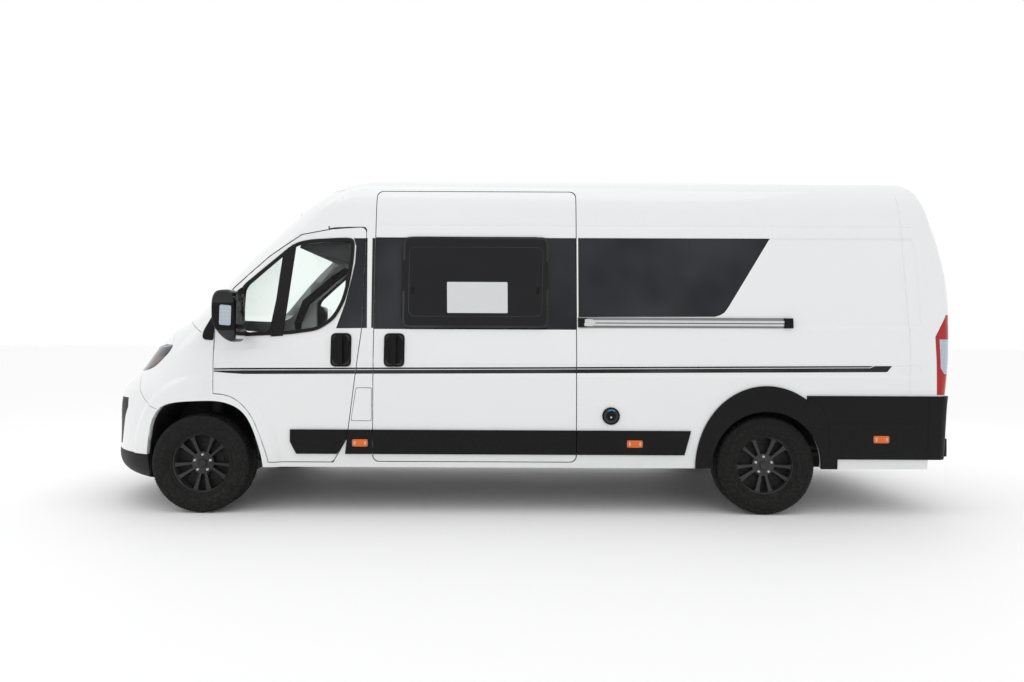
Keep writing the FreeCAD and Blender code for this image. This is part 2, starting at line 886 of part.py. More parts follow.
def side_wall(side):
    reach = half_width + overrun
    y0, y1 = sorted((side * reach, 0))
    front_part = box(axle_f + door_rear_foot - wall, axle_f + slider_front, y0, y1, sill_height,
                     door_top + door_gap)
    sill = box(axle_f + door_arch_half + fit, axle_f + slider_front, y0, y1, sill_height, door_bottom)
    rear_part = box(axle_f + slider_front - wall, rear_x + overrun, y0, y1, sill_height, roof_joint)
    region = front_part.multiFuse([sill, rear_part])
    body = shell(0, wall, region)
    body = body.cut(cab_door_cutter(side, door_gap))
    body = body.cut(rear_arch(rear_arch_radius, side))
    body = body.cut(rear_prism(rear_pair_outline(door_gap)))
    body = body.cut(tail_lamp_cutter(side, fit)).cut(rear_bumper_region())
    window = side_prism(side_window_outline(0), side_window_corner, side)
    if side < 0:
        body = body.cut(side_prism(slider_outline(slider_gap), slider_corner, side))
        pocket = side_prism(grown(flap_outline(), flap_gap), flap_corner, side)
        body = body.cut(pocket.cut(envelope(flap_thickness + fit)))
    else:
        body = body.cut(window)
    return solids_of(body)


def roof():
    reach = half_width + overrun
    region = box(front_x, rear_x + overrun, -reach, reach, roof_joint, height + overrun)
    return solids_of(shell(0, wall, region))


def door_seals():
    # Rubber rings behind the gaps of the cab doors and the sliding door, and a rubber channel up to the
    # windows behind the gap of the rear doors.
    rings = []
    for side in (-1, 1):
        ring = cab_door_cutter(side, door_gap + seal_width).cut(cab_door_cutter(side, -door_step - seal_width))
        rings.append(shell(wall + fit, seal_depth, ring))
    ring = side_prism(slider_outline(slider_gap + seal_width), slider_corner)
    ring = ring.cut(side_prism(slider_outline(-door_step - seal_width), slider_corner))
    rings.append(shell(wall + fit, seal_depth, ring))
    ring = rear_prism(rear_pair_outline(door_gap + seal_width))
    ring = ring.cut(rear_prism(rear_pair_outline(-door_step - seal_width)))
    ring = ring.common(box(front_x, rear_x + overrun, -half_width, half_width, ground, rear_window_bottom))
    rings.append(shell(wall + fit, seal_depth, ring))
    return Part.makeCompound([solids_of(ring) for ring in rings])


def sliding_door():
    door = panel(side_prism(slider_outline(0), slider_corner),
                 side_prism(slider_outline(-door_step), slider_corner))
    return solids_of(door.cut(side_prism(side_window_outline(0), side_window_corner)))


def side_windows():
    panes = []
    for side in (-1, 1):
        cutter = side_prism(side_window_outline(-glass_gap), side_window_corner, side)
        panes.append(solids_of(shell(-side_window_bulge, side_window_bulge + glass_thickness, cutter)))
    return Part.makeCompound(panes)


def slide_rail():
    cutter = side_prism([(axle_f + rail_front, rail_bottom), (axle_f + rail_rear, rail_bottom),
                         (axle_f + rail_rear, rail_top), (axle_f + rail_front, rail_top)])
    return solids_of(shell(-rail_depth, rail_depth - fit, cutter))


def moulding(x0, x1, side, slant=0.0, front_cut=0.0):
    outline = [
        (x0 + front_cut, moulding_bottom),
        (x0, moulding_bottom + front_cut * 2),
        (x0, moulding_top),
        (x1, moulding_top),
        (x1 - slant, moulding_bottom),
    ]
    if not front_cut:
        outline.pop(1)
    return shell(-moulding_depth, moulding_depth - fit, side_prism(outline, 0.0, side))


def door_edge_x(z):
    # The cab door's rear edge at a height on its slanting lower stretch.
    share = (z - door_low_height) / (door_waist_height - door_low_height)
    return axle_f + door_rear_low + share * (door_rear_waist - door_rear_low)


def side_mouldings():
    pieces = []
    for side in (-1, 1):
        post = [
            (door_edge_x(moulding_bottom) + door_gap, moulding_bottom),
            (door_edge_x(moulding_top) + door_gap, moulding_top),
            (axle_f + slider_front - slider_gap, moulding_top),
            (axle_f + slider_front - slider_gap, moulding_bottom),
        ]
        cutter = side_prism(post, 0.0, side)
        pieces.append(shell(-moulding_depth, moulding_depth - fit, cutter).cut(marker_cutter(0, side)))
        pieces.append(moulding(axle_f + slider_front, axle_f + slider_rear, side))
        long_piece = moulding(axle_f + slider_rear + slider_gap, axle_f + rear_moulding_end, side,
                              moulding_depth * 3)
        pieces.append(long_piece.cut(marker_cutter(1, side)))
        pieces.append(flare(side))
    cap = cylinder(filler_cap_radius, vec(axle_f + filler_cap_from_axle, -half_width - filler_cap_depth,
                                          filler_cap_height),
                   vec(axle_f + filler_cap_from_axle, -half_width + filler_cap_depth, filler_cap_height))
    pieces.append(cap.cut(envelope(-fit)))
    pieces.append(handle(axle_f + slider_handle_from_axle))
    return Part.makeCompound([s for p in pieces for s in p.Solids])


def flare(side):
    # The rear arch flare and the quarter cladding behind it, one black moulding.
    reach = half_width + overrun
    y0, y1 = sorted((side * reach, 0))
    rise = flare_top - tyre_radius
    oval = Part.Ellipse(vec(axle_r, y0, flare_top), vec(axle_r + flare_half_length, y0, tyre_radius),
                        vec(axle_r, y0, tyre_radius))
    ring = Part.Face(Part.Wire(oval.toShape())).extrude(vec(0, y1 - y0, 0))
    ring = ring.common(box(front_x, rear_x, y0, y1, sill_height, height))
    quarter = box(axle_r + rise / 2, axle_f + cladding_rear - fit, y0, y1, cladding_bottom, cladding_top)
    whole = ring.fuse(quarter)
    piece = shell(-moulding_depth, moulding_depth - fit, whole)
    return piece.cut(rear_arch(rear_arch_radius - door_gap * 3, side)).cut(marker_cutter(2, side))


def marker_box(index, side, margin):
    middle = axle_f + (marker_front, marker_middle, marker_rear)[index]
    z = marker_height_rear if index == 2 else marker_height_low
    reach = half_width + overrun
    y0, y1 = sorted((side * reach, 0))
    return box(middle - marker_length / 2 - margin, middle + marker_length / 2 + margin, y0, y1,
               z - marker_height / 2 - margin, z + marker_height / 2 + margin)


def marker_cutter(index, side):
    return marker_box(index, side, fit)


def side_markers():
    pieces = []
    for side in (-1, 1):
        for index in range(3):
            cutter = marker_box(index, side, 0)
            depth = moulding_depth + marker_proud
            pieces.extend(shell(-depth, depth - fit, cutter).Solids)
    return Part.makeCompound(pieces)


def fuel_flap():
    return solids_of(shell(0, flap_thickness, side_prism(flap_outline(), flap_corner)))


def rear_bumper_region():
    reach = half_width + overrun
    corners = box(axle_f + cladding_rear, rear_x + overrun, -reach, reach, rear_bumper_bottom - overrun,
                  rear_bumper_top)
    middle = box(axle_f, rear_x + overrun, -rear_door_half - door_gap, rear_door_half + door_gap,
                 rear_bumper_step, height)
    return corners.cut(middle)


def rear_bumper():
    region = rear_bumper_region()
    region = region.cut(box(front_x, rear_x + overrun, -half_width * 2, half_width * 2, ground,
                            rear_bumper_bottom))
    bumper = solids_of(shell(-moulding_depth, wall, region))
    step = box(rear_x - rear_step_depth, rear_x, -rear_door_half, rear_door_half, rear_bumper_bottom,
               rear_bumper_step)
    upright = [e for e in step.Edges if abs(e.BoundBox.XMin - rear_x) < fit]
    return solids_of(bumper.fuse(step.makeFillet(rear_step_round, upright)))


def tail_lamps():
    lamps = [solids_of(shell(0, wall, tail_lamp_cutter(side, 0))) for side in (-1, 1)]
    return Part.makeCompound(lamps)


def floor():
    reach = half_width + overrun
    plate = box(axle_f + floor_front, rear_x - wall, -reach, reach, floor_top - floor_thickness, floor_top)
    plate = plate.cut(box(axle_f, axle_f + cab_floor_end, -reach, reach, floor_top - cab_floor_drop, height))
    plate = plate.common(envelope(wall + seal_depth + fit * 2))
    for side in (-1, 1):
        y0, y1 = sorted((side * (rear_housing_inner - fit), side * reach))
        radius = rear_arch_radius + housing_wall
        plate = plate.cut(cylinder(radius + fit, vec(axle_r, y0, tyre_radius), vec(axle_r, y1, tyre_radius)))
        y0, y1 = sorted((side * (front_housing_inner - fit), side * reach))
        liner = front_arch(side, liner_lap + fit).common(box(front_x, rear_x, y0, y1, ground, height))
        plate = plate.cut(liner)
    bulkhead = box(axle_f + floor_front - bulkhead_thickness, axle_f + floor_front, -bulkhead_half,
                   bulkhead_half, floor_top - floor_thickness, bulkhead_top)
    rails = []
    for sign in (-1, 1):
        y0, y1 = sorted((sign * rail_half_spacing, sign * (rail_half_spacing + chassis_rail_width)))
        under = floor_top - floor_thickness
        rail = box(axle_f + floor_front, rear_x - chassis_rail_inset, y0, y1, under - chassis_rail_height, under)
        for k in range(2):
            x = rear_x - wall * 2 - tow_hole_from_end - k * tow_hole_spacing
            z = under - chassis_rail_height / 2
            rail = rail.cut(cylinder(tow_hole_radius, vec(x, y0 - fit, z), vec(x, y1 + fit, z)))
        rails.append(rail)
    return join([plate, bulkhead] + rails)


def wheel_housings():
    pieces = []
    for side in (-1, 1):
        reach = half_width + overrun
        # rear: a flat-sided box with an arched top, open to the wheel
        outer = circle_cutter(axle_r, tyre_radius, rear_arch_radius + housing_wall, side)
        inner = circle_cutter(axle_r, tyre_radius, rear_arch_radius, side)
        y0, y1 = sorted((side * rear_housing_inner, side * reach))
        keep = box(front_x, rear_x, y0, y1, floor_top - floor_thickness, height)
        y2, y3 = sorted((side * (rear_housing_inner + housing_wall), side * reach))
        hollow = inner.common(box(front_x, rear_x, y2, y3, ground, height))
        pieces.append(outer.common(keep).cut(hollow).common(envelope(wall + fit)))
        # front: the same, wide enough for the wheel on full lock
        outer = front_arch(side, liner_lap)
        inner = front_arch(side, liner_lap - housing_wall)
        y0, y1 = sorted((side * front_housing_inner, side * reach))
        keep = box(front_x, rear_x, y0, y1, floor_top - floor_thickness, height)
        y2, y3 = sorted((side * (front_housing_inner + housing_wall), side * reach))
        hollow = inner.common(box(front_x, rear_x, y2, y3, ground, height))
        pieces.append(outer.common(keep).cut(hollow).common(envelope(skin + fit)))
    return Part.makeCompound([s for p in pieces for s in p.Solids])


def dashboard():
    x0, x1 = axle_f + dash_front, axle_f + dash_rear
    front_top = bulkhead_top + (dash_top - bulkhead_top) / 2
    outline = [
        (axle_f + floor_front + fit, dash_bottom),
        (axle_f + floor_front + fit, bulkhead_top + fit),
        (x0, bulkhead_top + fit),
        (x0, front_top),
        (x1 - dash_lip, dash_top),
        (x1, dash_top - dash_lip),
        (x1 - dash_lip, dash_bottom),
    ]
    reach = half_width + overrun
    body = prism([vec(x, -reach, z) for x, z in outline], vec(0, reach * 2, 0))
    body = body.common(envelope(wall + seal_depth + fit * 2))
    tilt = math.radians(steering_tilt_deg)
    centre = vec(axle_f + steering_from_axle, seat_half_spacing, steering_height)
    along = vec(math.cos(tilt), 0, math.sin(tilt))
    rim = Part.makeTorus(steering_wheel_radius, steering_rim_radius, centre, along)
    boss = cylinder(steering_boss_radius, centre - along * steering_rim_radius,
                    centre + along * steering_rim_radius)
    column = cylinder(steering_column_radius, centre - along * steering_column_length, centre)
    spokes = []
    for angle in (0, 120, 240):
        spoke = box(-steering_rim_radius / 2, steering_rim_radius / 2, -steering_rim_radius,
                    steering_rim_radius, 0, steering_wheel_radius)
        spoke.rotate(vec(0, 0, 0), vec(1, 0, 0), angle)
        spoke.rotate(vec(0, 0, 0), vec(0, 1, 0), -steering_tilt_deg)
        spoke.translate(centre)
        spokes.append(spoke)
    return join([body, rim, boss, column] + spokes)


def seat(side):
    y = side * seat_half_spacing
    x0 = axle_f + seat_front
    x1 = x0 + seat_length
    cushion = box(x0, x1, y - seat_width / 2, y + seat_width / 2, seat_top - seat_cushion, seat_top)
    cushion = cushion.makeFillet(seat_round, cushion.Edges)
    back = box(x1 - seat_back_thickness, x1, y - seat_back_width / 2, y + seat_back_width / 2,
               seat_top - seat_cushion / 2, seat_top + seat_back_height)
    back = back.makeFillet(seat_round, back.Edges)
    head = box(x1 - headrest_thickness, x1, y - headrest_width / 2, y + headrest_width / 2,
               seat_top + seat_back_height - seat_round / 2,
               seat_top + seat_back_height + headrest_height)
    head = head.makeFillet(seat_round, head.Edges)
    for piece in (back, head):
        piece.rotate(vec(x1, y, seat_top), vec(0, 1, 0), seat_lean_deg)
    base_x = x0 + (seat_length - seat_base_length) / 2
    base = box(base_x, base_x + seat_base_length, y - seat_base_width / 2, y + seat_base_width / 2,
               floor_top - cab_floor_drop, seat_top - seat_cushion)
    return join([cushion, back, head, base])


def engine():
    return box(axle_f + engine_front, axle_f + engine_rear, -engine_half, engine_half, engine_bottom,
               engine_top)


def radiator_panel():
    x0 = axle_f + radiator_from_axle
    core = box(x0, x0 + radiator_thickness, -radiator_half, radiator_half, radiator_bottom, radiator_top)
    beam = box(x0, x0 + radiator_thickness, -half_width, half_width, radiator_top,
               radiator_top + slam_panel_height)
    stops = [cylinder(bump_stop_radius, vec(x0 + radiator_thickness / 2, sign * bump_stop_spacing, radiator_top),
                      vec(x0 + radiator_thickness / 2, sign * bump_stop_spacing, cowl_height))
             for sign in (-1, 1)]
    return solids_of(join([core, beam] + stops).common(envelope(skin + fit)))


def tyre(x, y):
    # A revolved section: flat tread, bevelled shoulders, bulged sidewalls and a seat on the rim.
    half = tyre_width / 2
    bead = rim_width / 2 - rim_lip - fit
    lip = rim_radius + fit
    belly = (tyre_radius + rim_radius) / 2
    section = [
        (bead, rim_seat_radius + fit), (bead, lip), (half - tyre_bulge, lip + tyre_bead), (half, belly),
        (half - tyre_bulge, tyre_radius - tyre_shoulder / 2), (half - tyre_shoulder, tyre_radius),
    ]
    outline = [vec(0, y0, r) for y0, r in section] + [vec(0, -y0, r) for y0, r in reversed(section)]
    body = Part.Face(Part.makePolygon(outline + outline[:1])).revolve(vec(0, 0, 0), vec(0, 1, 0), 360)
    body.translate(vec(x, y, tyre_radius))
    return body


def rim(x, y, sign):
    # Drawn with its outer face at +Y, then turned to the side it sits on.
    half = rim_width / 2
    barrel = [
        (-half, rim_radius), (-half + rim_lip, rim_radius), (-half + rim_lip, rim_seat_radius),
        (half - rim_lip, rim_seat_radius), (half - rim_lip, rim_radius), (half, rim_radius),
        (half, rim_radius - rim_wall), (half - rim_lip * 2, rim_seat_radius - rim_wall),
        (-half + rim_lip * 2, rim_seat_radius - rim_wall), (-half, rim_radius - rim_wall),
    ]
    wire = Part.makePolygon([vec(0, a, r) for a, r in barrel + barrel[:1]])
    body = Part.Face(wire).revolve(vec(0, 0, 0), vec(0, 1, 0), 360)
    face_y = half - hub_face_inset
    pieces = [body, cylinder(hub_face_radius, vec(0, face_y - hub_depth, 0), vec(0, face_y, 0))]
    for k in range(spoke_pairs):
        for lean in (-1, 1):
            inner = vec(0, 0, hub_face_radius / 2)
            outer_z = rim_seat_radius - rim_wall / 2
            y_out = half - spoke_inset
            bar = [
                vec(-spoke_width / 2, face_y - spoke_depth, inner.z),
                vec(-spoke_width / 2, y_out - spoke_depth, outer_z),
                vec(-spoke_width / 2, y_out, outer_z),
                vec(-spoke_width / 2, face_y, inner.z),
            ]
            spoke = prism(bar, vec(spoke_width, 0, 0))
            spoke.rotate(vec(0, 0, 0), vec(0, 1, 0), lean * spoke_split_deg + k * 360 / spoke_pairs)
            pieces.append(spoke)
    wheel = join(pieces)
    wheel = wheel.cut(cylinder(wheel_bore_radius, vec(0, face_y - hub_depth - fit, 0),
                               vec(0, face_y - centre_cap_depth, 0)))
    for k in range(spoke_pairs):
        angle = math.radians(90 + (k + 0.5) * 360 / spoke_pairs)
        at = vec(bolt_circle / 2 * math.cos(angle), 0, bolt_circle / 2 * math.sin(angle))
        wheel = wheel.cut(cylinder(bolt_radius, at + vec(0, face_y - centre_cap_depth, 0),
                                   at + vec(0, face_y + fit, 0)))
    cap = cylinder(centre_cap_radius, vec(0, face_y, 0), vec(0, face_y + centre_cap_depth, 0))
    wheel = wheel.fuse(cap)
    if sign < 0:
        wheel.rotate(vec(0, 0, 0), vec(0, 0, 1), 180)
    wheel.translate(vec(x, y, tyre_radius))
    return wheel


def knuckle(side):
    # The upright with its stub shaft and brake disc.
    y_pin = side * (front_track / 2 - kingpin_inset)
    hub_y = side * (front_track / 2 + rim_width / 2 - hub_face_inset - hub_depth)
    upright = cylinder(knuckle_radius, vec(axle_f, y_pin, knuckle_bottom), vec(axle_f, y_pin, knuckle_top))
    stub = cylinder(stub_radius, vec(axle_f, y_pin, tyre_radius),
                    vec(axle_f, hub_y + side * stub_length, tyre_radius))
    start = vec(axle_f, hub_y - side * (brake_disc_thickness / 2 + fit), tyre_radius)
    disc = cylinder(brake_disc_radius, start - vec(0, side * brake_disc_thickness / 2, 0),
                    start + vec(0, side * brake_disc_thickness / 2, 0))
    return join([upright, stub, disc])


def front_suspension():
    # The crossmember hangs under the rails. A lower and an upper arm hold each knuckle between them, and
    # the strut with its spring stands on the lower arm, inside the wheel's swing.
    half = subframe_width / 2
    top = subframe_bottom + subframe_height
    pieces = [box(axle_f - half, axle_f + half, -subframe_half, subframe_half, subframe_bottom, top)]
    for side in (-1, 1):
        y_pin = side * (front_track / 2 - kingpin_inset)
        arm_top = knuckle_bottom - fit
        y_strut = side * strut_from_middle
        for inner, width, low, high in ((subframe_half / 2, arm_width, arm_top - arm_height, arm_top),
                                        (strut_from_middle, upper_arm_width, knuckle_top + fit,
                                         knuckle_top + upper_arm_height)):
            y0, y1 = sorted((side * inner, y_pin))
            pieces.append(box(axle_f - width / 2, axle_f + width / 2, y0, y1, low, high))
            pieces.append(cylinder(arm_ball_radius, vec(axle_f, y_pin, low), vec(axle_f, y_pin, high)))
        pieces.append(cylinder(strut_radius, vec(axle_f, y_strut, arm_top - arm_height),
                               vec(axle_f, y_strut, strut_top)))
        pieces.append(cylinder(spring_coil_radius, vec(axle_f, y_strut, knuckle_top), vec(axle_f, y_strut, strut_top)))
        tower = cylinder(tower_radius, vec(axle_f, y_strut, strut_top), vec(axle_f, y_strut, height))
        pieces.append(tower.common(front_arch(side, liner_lap - housing_wall - fit)))
        y2, y3 = sorted((side * rail_half_spacing, side * (rail_half_spacing + chassis_rail_width)))
        rail_low = floor_top - floor_thickness - chassis_rail_height
        pieces.append(box(axle_f + half - subframe_post, axle_f + half, y2, y3, top, rail_low - fit))
    return join(pieces)


def rear_axle():
    half = rear_track / 2 + rim_width / 2 - hub_face_inset - hub_depth - fit
    beam_half = half - rear_hub_length / 2
    beam_z = tyre_radius - rear_beam_drop
    pieces = [cylinder(rear_beam_radius, vec(axle_r, -beam_half, beam_z), vec(axle_r, beam_half, beam_z))]
    for side in (-1, 1):
        end = vec(axle_r, side * half, tyre_radius)
        pieces.append(cylinder(rear_hub_radius, end - vec(0, side * rear_hub_length, 0), end))
        y = side * spring_half_spacing
        top = floor_top - floor_thickness
        low = beam_z + rear_beam_radius - spring_thickness
        outer = Part.Arc(vec(axle_r - spring_half_length, 0, low + spring_sag),
                         vec(axle_r, 0, low), vec(axle_r + spring_half_length, 0, low + spring_sag))
        upper = Part.Arc(vec(axle_r - spring_half_length, 0, low + spring_sag + spring_thickness),
                         vec(axle_r, 0, low + spring_thickness),
                         vec(axle_r + spring_half_length, 0, low + spring_sag + spring_thickness))
        ends = [Part.LineSegment(outer.StartPoint, upper.StartPoint).toShape(),
                Part.LineSegment(outer.EndPoint, upper.EndPoint).toShape()]
        face = Part.Face(Part.Wire(Part.__sortEdges__([outer.toShape(), upper.toShape()] + ends)))
        leaf = face.extrude(vec(0, spring_width, 0))
        leaf.translate(vec(0, y - spring_width / 2, 0))
        pieces.append(leaf)
        for sign in (-1, 1):
            x = axle_r + sign * (spring_half_length - hanger_width / 2)
            pieces.append(box(x - hanger_width / 2, x + hanger_width / 2, y - spring_width / 2,
                              y + spring_width / 2, low + spring_sag - spring_thickness, top - fit))
    return join(pieces)


def fuel_tank():
    tank = box(axle_f + tank_front, axle_f + tank_rear, tank_left, tank_right, tank_bottom,
               floor_top - floor_thickness - fit)
    return tank.makeFillet(tank_round, [e for e in tank.Edges if abs(e.BoundBox.ZMin - tank_bottom) < 1e-3
                                        and e.BoundBox.ZLength < 1e-3])


def exhaust():
    y = exhaust_side
    pipe = cylinder(exhaust_radius, vec(axle_f + exhaust_front, y, exhaust_height),
                    vec(axle_f + exhaust_rear, y, exhaust_height))
    muffler = cylinder(muffler_radius, vec(axle_f + muffler_from_axle, y, exhaust_height),
                       vec(axle_f + muffler_from_axle + muffler_length, y, exhaust_height))
    hangers = [box(x - hanger_width / 2, x + hanger_width / 2, y - exhaust_radius / 2, y + exhaust_radius / 2,
                   exhaust_height, floor_top - floor_thickness - fit)
               for x in (axle_f + exhaust_front + hanger_width, axle_f + exhaust_rear - hanger_width * 2)]
    return join([pipe, muffler] + hangers)


def spare_wheel():
    x = axle_f + spare_from_axle
    body = cylinder(tyre_radius, vec(x, 0, spare_bottom), vec(x, 0, spare_bottom + tyre_width))
    body = body.makeChamfer(spare_bevel, body.Edges[:1] + body.Edges[2:3])
    post = cylinder(hub_face_radius / 2, vec(x, 0, spare_bottom + tyre_width / 2),
                    vec(x, 0, floor_top - floor_thickness - fit))
    return join([body, post])


def mirror_set():
    # Housing with an upper and a lower arm on a foot at the door's front corner.
    x0 = axle_f + mirror_front
    rise = mirror_top - mirror_bottom
    outline = [vec(x0 + a * mirror_length, -mirror_outer, mirror_bottom + b * rise)
               for a, b in mirror_outline_shares]
    housing = prism(outline, vec(0, mirror_outer - mirror_inner, 0), mirror_round)
    rims = [e for e in housing.Edges if e.BoundBox.YLength < fit]
    housing = housing.makeFillet(mirror_round * mirror_edge_share, rims)
    arms = []
    start = x0 + mirror_arm_inset
    for z in (mirror_arm_low, mirror_arm_high):
        arms.append(box(start, start + mirror_arm_width, -mirror_inner - mirror_round,
                        -half_width + wall * 2, z, z + mirror_arm_height))
    body = join([housing] + arms).cut(envelope(-fit))
    keep = box(front_x, rear_x, -mirror_outer * 2, -half_width + overrun / 2, ground, height)
    return solids_of(body.common(keep))


def handle(x):
    # An oval dish with an upright grip in front of it.
    x0 = x - handle_width / 2
    z0 = handle_middle - handle_length / 2
    grip_out = half_width + handle_proud
    dish_y = -half_width - handle_dish_proud
    oval = Part.Ellipse(vec(x, dish_y, handle_middle + handle_dish_height / 2),
                        vec(x + handle_dish_width / 2, dish_y, handle_middle), vec(x, dish_y, handle_middle))
    dish = Part.Face(Part.Wire(oval.toShape())).extrude(vec(0, wall, 0))
    grip = box(x0, x0 + handle_width, -grip_out, -grip_out + handle_bar, z0, z0 + handle_length)
    feet = [box(x0, x0 + handle_width, -grip_out, -half_width + wall, z, z + handle_bar * 2)
            for z in (z0, z0 + handle_length - handle_bar * 2)]
    return solids_of(join([dish, grip] + feet).cut(envelope(-fit)))


def door_trim():
    cut = (moulding_top - moulding_bottom) / 4
    strip = moulding(axle_f + door_moulding_front, axle_f + door_rear_waist, -1, 0.0, cut)
    edge = side_prism(cab_door_outline(), door_corner)
    pieces = strip.common(edge).Solids + handle(axle_f + handle_from_axle).Solids
    return Part.makeCompound(pieces)


def wheels():
    places = {
        "front_left": (axle_f, -front_track / 2, -1),
        "front_right": (axle_f, front_track / 2, 1),
        "rear_left": (axle_r, -rear_track / 2, -1),
        "rear_right": (axle_r, rear_track / 2, 1),
    }
    made = {}
    for name, (x, y, sign) in places.items():
        made["rim_" + name] = rim(x, y, sign)
        made["tyre_" + name] = tyre(x, y)
    return made


def build():
    nodes = {
        "floor": floor(),
        "side_wall_left": side_wall(-1),
        "side_wall_right": side_wall(1),
        "roof": roof(),
        "cab_frame": cab_frame(),
        "windscreen": windscreen(),
        "front_bumper": front_bumper(),
        "bumper_lower": lower_bumper(),
        "grille": grille(),
        "headlamps": headlamps(),
        "radiator_panel": radiator_panel(),
        "engine": engine(),
        "dashboard": dashboard(),
        "cab_seats": Part.makeCompound([seat(-1), seat(1)]),
        "wheel_housings": wheel_housings(),
        "sliding_door": sliding_door(),
        "door_seals": door_seals(),
        "side_windows": side_windows(),
        "slide_rail": slide_rail(),
        "side_mouldings": side_mouldings(),
        "side_markers": side_markers(),
        "rear_bumper": rear_bumper(),
        "tail_lamps": tail_lamps(),
        "front_suspension": front_suspension(),
        "rear_axle": rear_axle(),
        "fuel_tank": fuel_tank(),
        "exhaust": exhaust(),
        "spare_wheel": spare_wheel(),
        "fuel_flap": fuel_flap(),
        "bonnet": bonnet(),
    }
    both_sides = {
        "front_wing": front_wing(-1),
        "cab_door": cab_door(-1),
        "cab_glass": cab_glass(-1),
        "mirror": mirror_set(),
        "door_trim": door_trim(),
        "rear_door": rear_door(-1),
        "rear_glass": rear_glass(-1),
        "knuckle": knuckle(-1),
    }
    for name, shape in both_sides.items():
        nodes[name + "_left"] = shape
        nodes[name + "_right"] = mirror(shape)
    nodes.update(wheels())
    return nodes


def main():
    os.makedirs("parts", exist_ok=True)
    for name, shape in build().items():
        shape.exportStep(os.path.join("parts", name + ".step"))
        print(name, len(shape.Solids), shape.isValid(), round(shape.Volume))


main()
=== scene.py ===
import math

import bmesh
import bpy
import numpy as np
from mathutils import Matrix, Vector
from mathutils.bvhtree import BVHTree


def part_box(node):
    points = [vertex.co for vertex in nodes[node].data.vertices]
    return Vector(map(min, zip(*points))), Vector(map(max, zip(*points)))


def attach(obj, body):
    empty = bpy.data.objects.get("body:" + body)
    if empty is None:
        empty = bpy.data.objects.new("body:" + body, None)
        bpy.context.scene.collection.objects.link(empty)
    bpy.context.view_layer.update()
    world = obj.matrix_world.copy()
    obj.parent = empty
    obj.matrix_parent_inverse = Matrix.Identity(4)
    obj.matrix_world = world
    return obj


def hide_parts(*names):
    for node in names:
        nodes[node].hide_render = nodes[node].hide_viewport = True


# Camper van. Metres, front at -X, left side at -Y, up at +Z.

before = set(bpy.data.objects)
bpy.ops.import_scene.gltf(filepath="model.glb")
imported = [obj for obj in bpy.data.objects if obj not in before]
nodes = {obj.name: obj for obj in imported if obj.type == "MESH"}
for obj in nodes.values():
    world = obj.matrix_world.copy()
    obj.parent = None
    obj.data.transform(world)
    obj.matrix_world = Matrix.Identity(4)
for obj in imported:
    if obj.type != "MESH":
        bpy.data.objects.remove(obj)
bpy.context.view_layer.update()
print("frame loaded:", len(nodes), "nodes")

van = {
    "length": 6.363,
    "halfWidth": 1.008,
    "height": 2.524,
    "wheelbase": 4.035,
    "frontOverhang": 0.948,
    "frontTrack": 1.810,
    "rearTrack": 1.790,
    "cornerRadius": 0.090,
    "rearBow": 0.025,
    "roofCap": 0.080,
    "sweepLimit": 0.98,
    "tailScale": 0.687,
}
frontX = -van["length"] / 2
rearX = van["length"] / 2
axleF = frontX + van["frontOverhang"]
axleR = axleF + van["wheelbase"]
rearOverhang = rearX - axleR

# Body levels: share of height, nose and corner shares of the front overhang, share of half width,
# tail share of the rear overhang.
levelShares = [
    (0.0919, 0.1044, 0.836, 0.967, 0.128),
    (0.1042, 0.0411, 0.836, 0.973, 0.112),
    (0.1228, 0.0042, 0.836, 0.980, 0.097),
    (0.1783, 0.0000, 0.836, 0.995, 0.081),
    (0.2536, 0.0042, 0.836, 0.999, 0.073),
    (0.3284, 0.0243, 0.823, 1.000, 0.060),
    (0.3419, 0.0369, 0.812, 1.000, 0.056),
    (0.3538, 0.0654, 0.802, 1.000, 0.053),
    (0.3863, 0.1635, 0.749, 0.999, 0.044),
    (0.4350, 0.2785, 0.675, 0.996, 0.031),
    (0.4754, 0.3713, 0.617, 0.988, 0.023),
    (0.5139, 0.4958, 0.554, 0.979, 0.017),
    (0.5491, 0.6519, 0.485, 0.972, 0.015),
    (0.6498, 0.9409, 0.407, 0.950, 0.017),
    (0.7528, 1.1920, 0.404, 0.926, 0.060),
    (0.8162, 1.3713, 0.404, 0.909, 0.102),
    (0.8756, 1.5348, 0.404, 0.890, 0.144),
    (0.9113, 1.6530, 0.401, 0.859, 0.176),
    (0.9429, 1.7795, 0.390, 0.801, 0.207),
    (0.9695, 1.9483, 0.369, 0.675, 0.255),
    (0.9865, 2.1118, 0.316, 0.446, 0.308),
    (0.9972, 2.2911, 0.200, 0.198, 0.381),
    (0.9996, 2.3755, 0.080, 0.079, 0.424),
]
bandStarts = (0, 6, 12, 16, 22)  # lower body, bonnet and waist, windows, roof
bands = [levelShares[a:b + 1] for a, b in zip(bandStarts, bandStarts[1:])]
sides = ((-1, "left"), (1, "right"))


def cubicThrough(knots, values):
    # Second derivatives of a natural cubic through the levels.
    count = len(knots)
    gaps = np.diff(knots)
    matrix = np.eye(count)
    right = np.zeros(count)
    for i in range(1, count - 1):
        matrix[i, i - 1:i + 2] = gaps[i - 1], 2 * (gaps[i - 1] + gaps[i]), gaps[i]
        right[i] = 6 * ((values[i + 1] - values[i]) / gaps[i] - (values[i] - values[i - 1]) / gaps[i - 1])
    return np.linalg.solve(matrix, right)


def cubicAt(knots, values, bends, z):
    k = np.clip(np.searchsorted(knots, z) - 1, 0, len(knots) - 2)
    gap = knots[k + 1] - knots[k]
    a = (knots[k + 1] - z) / gap
    b = (z - knots[k]) / gap
    curve = ((a ** 3 - a) * bends[k] + (b ** 3 - b) * bends[k + 1]) * gap ** 2 / 6
    return a * values[k] + b * values[k + 1] + curve


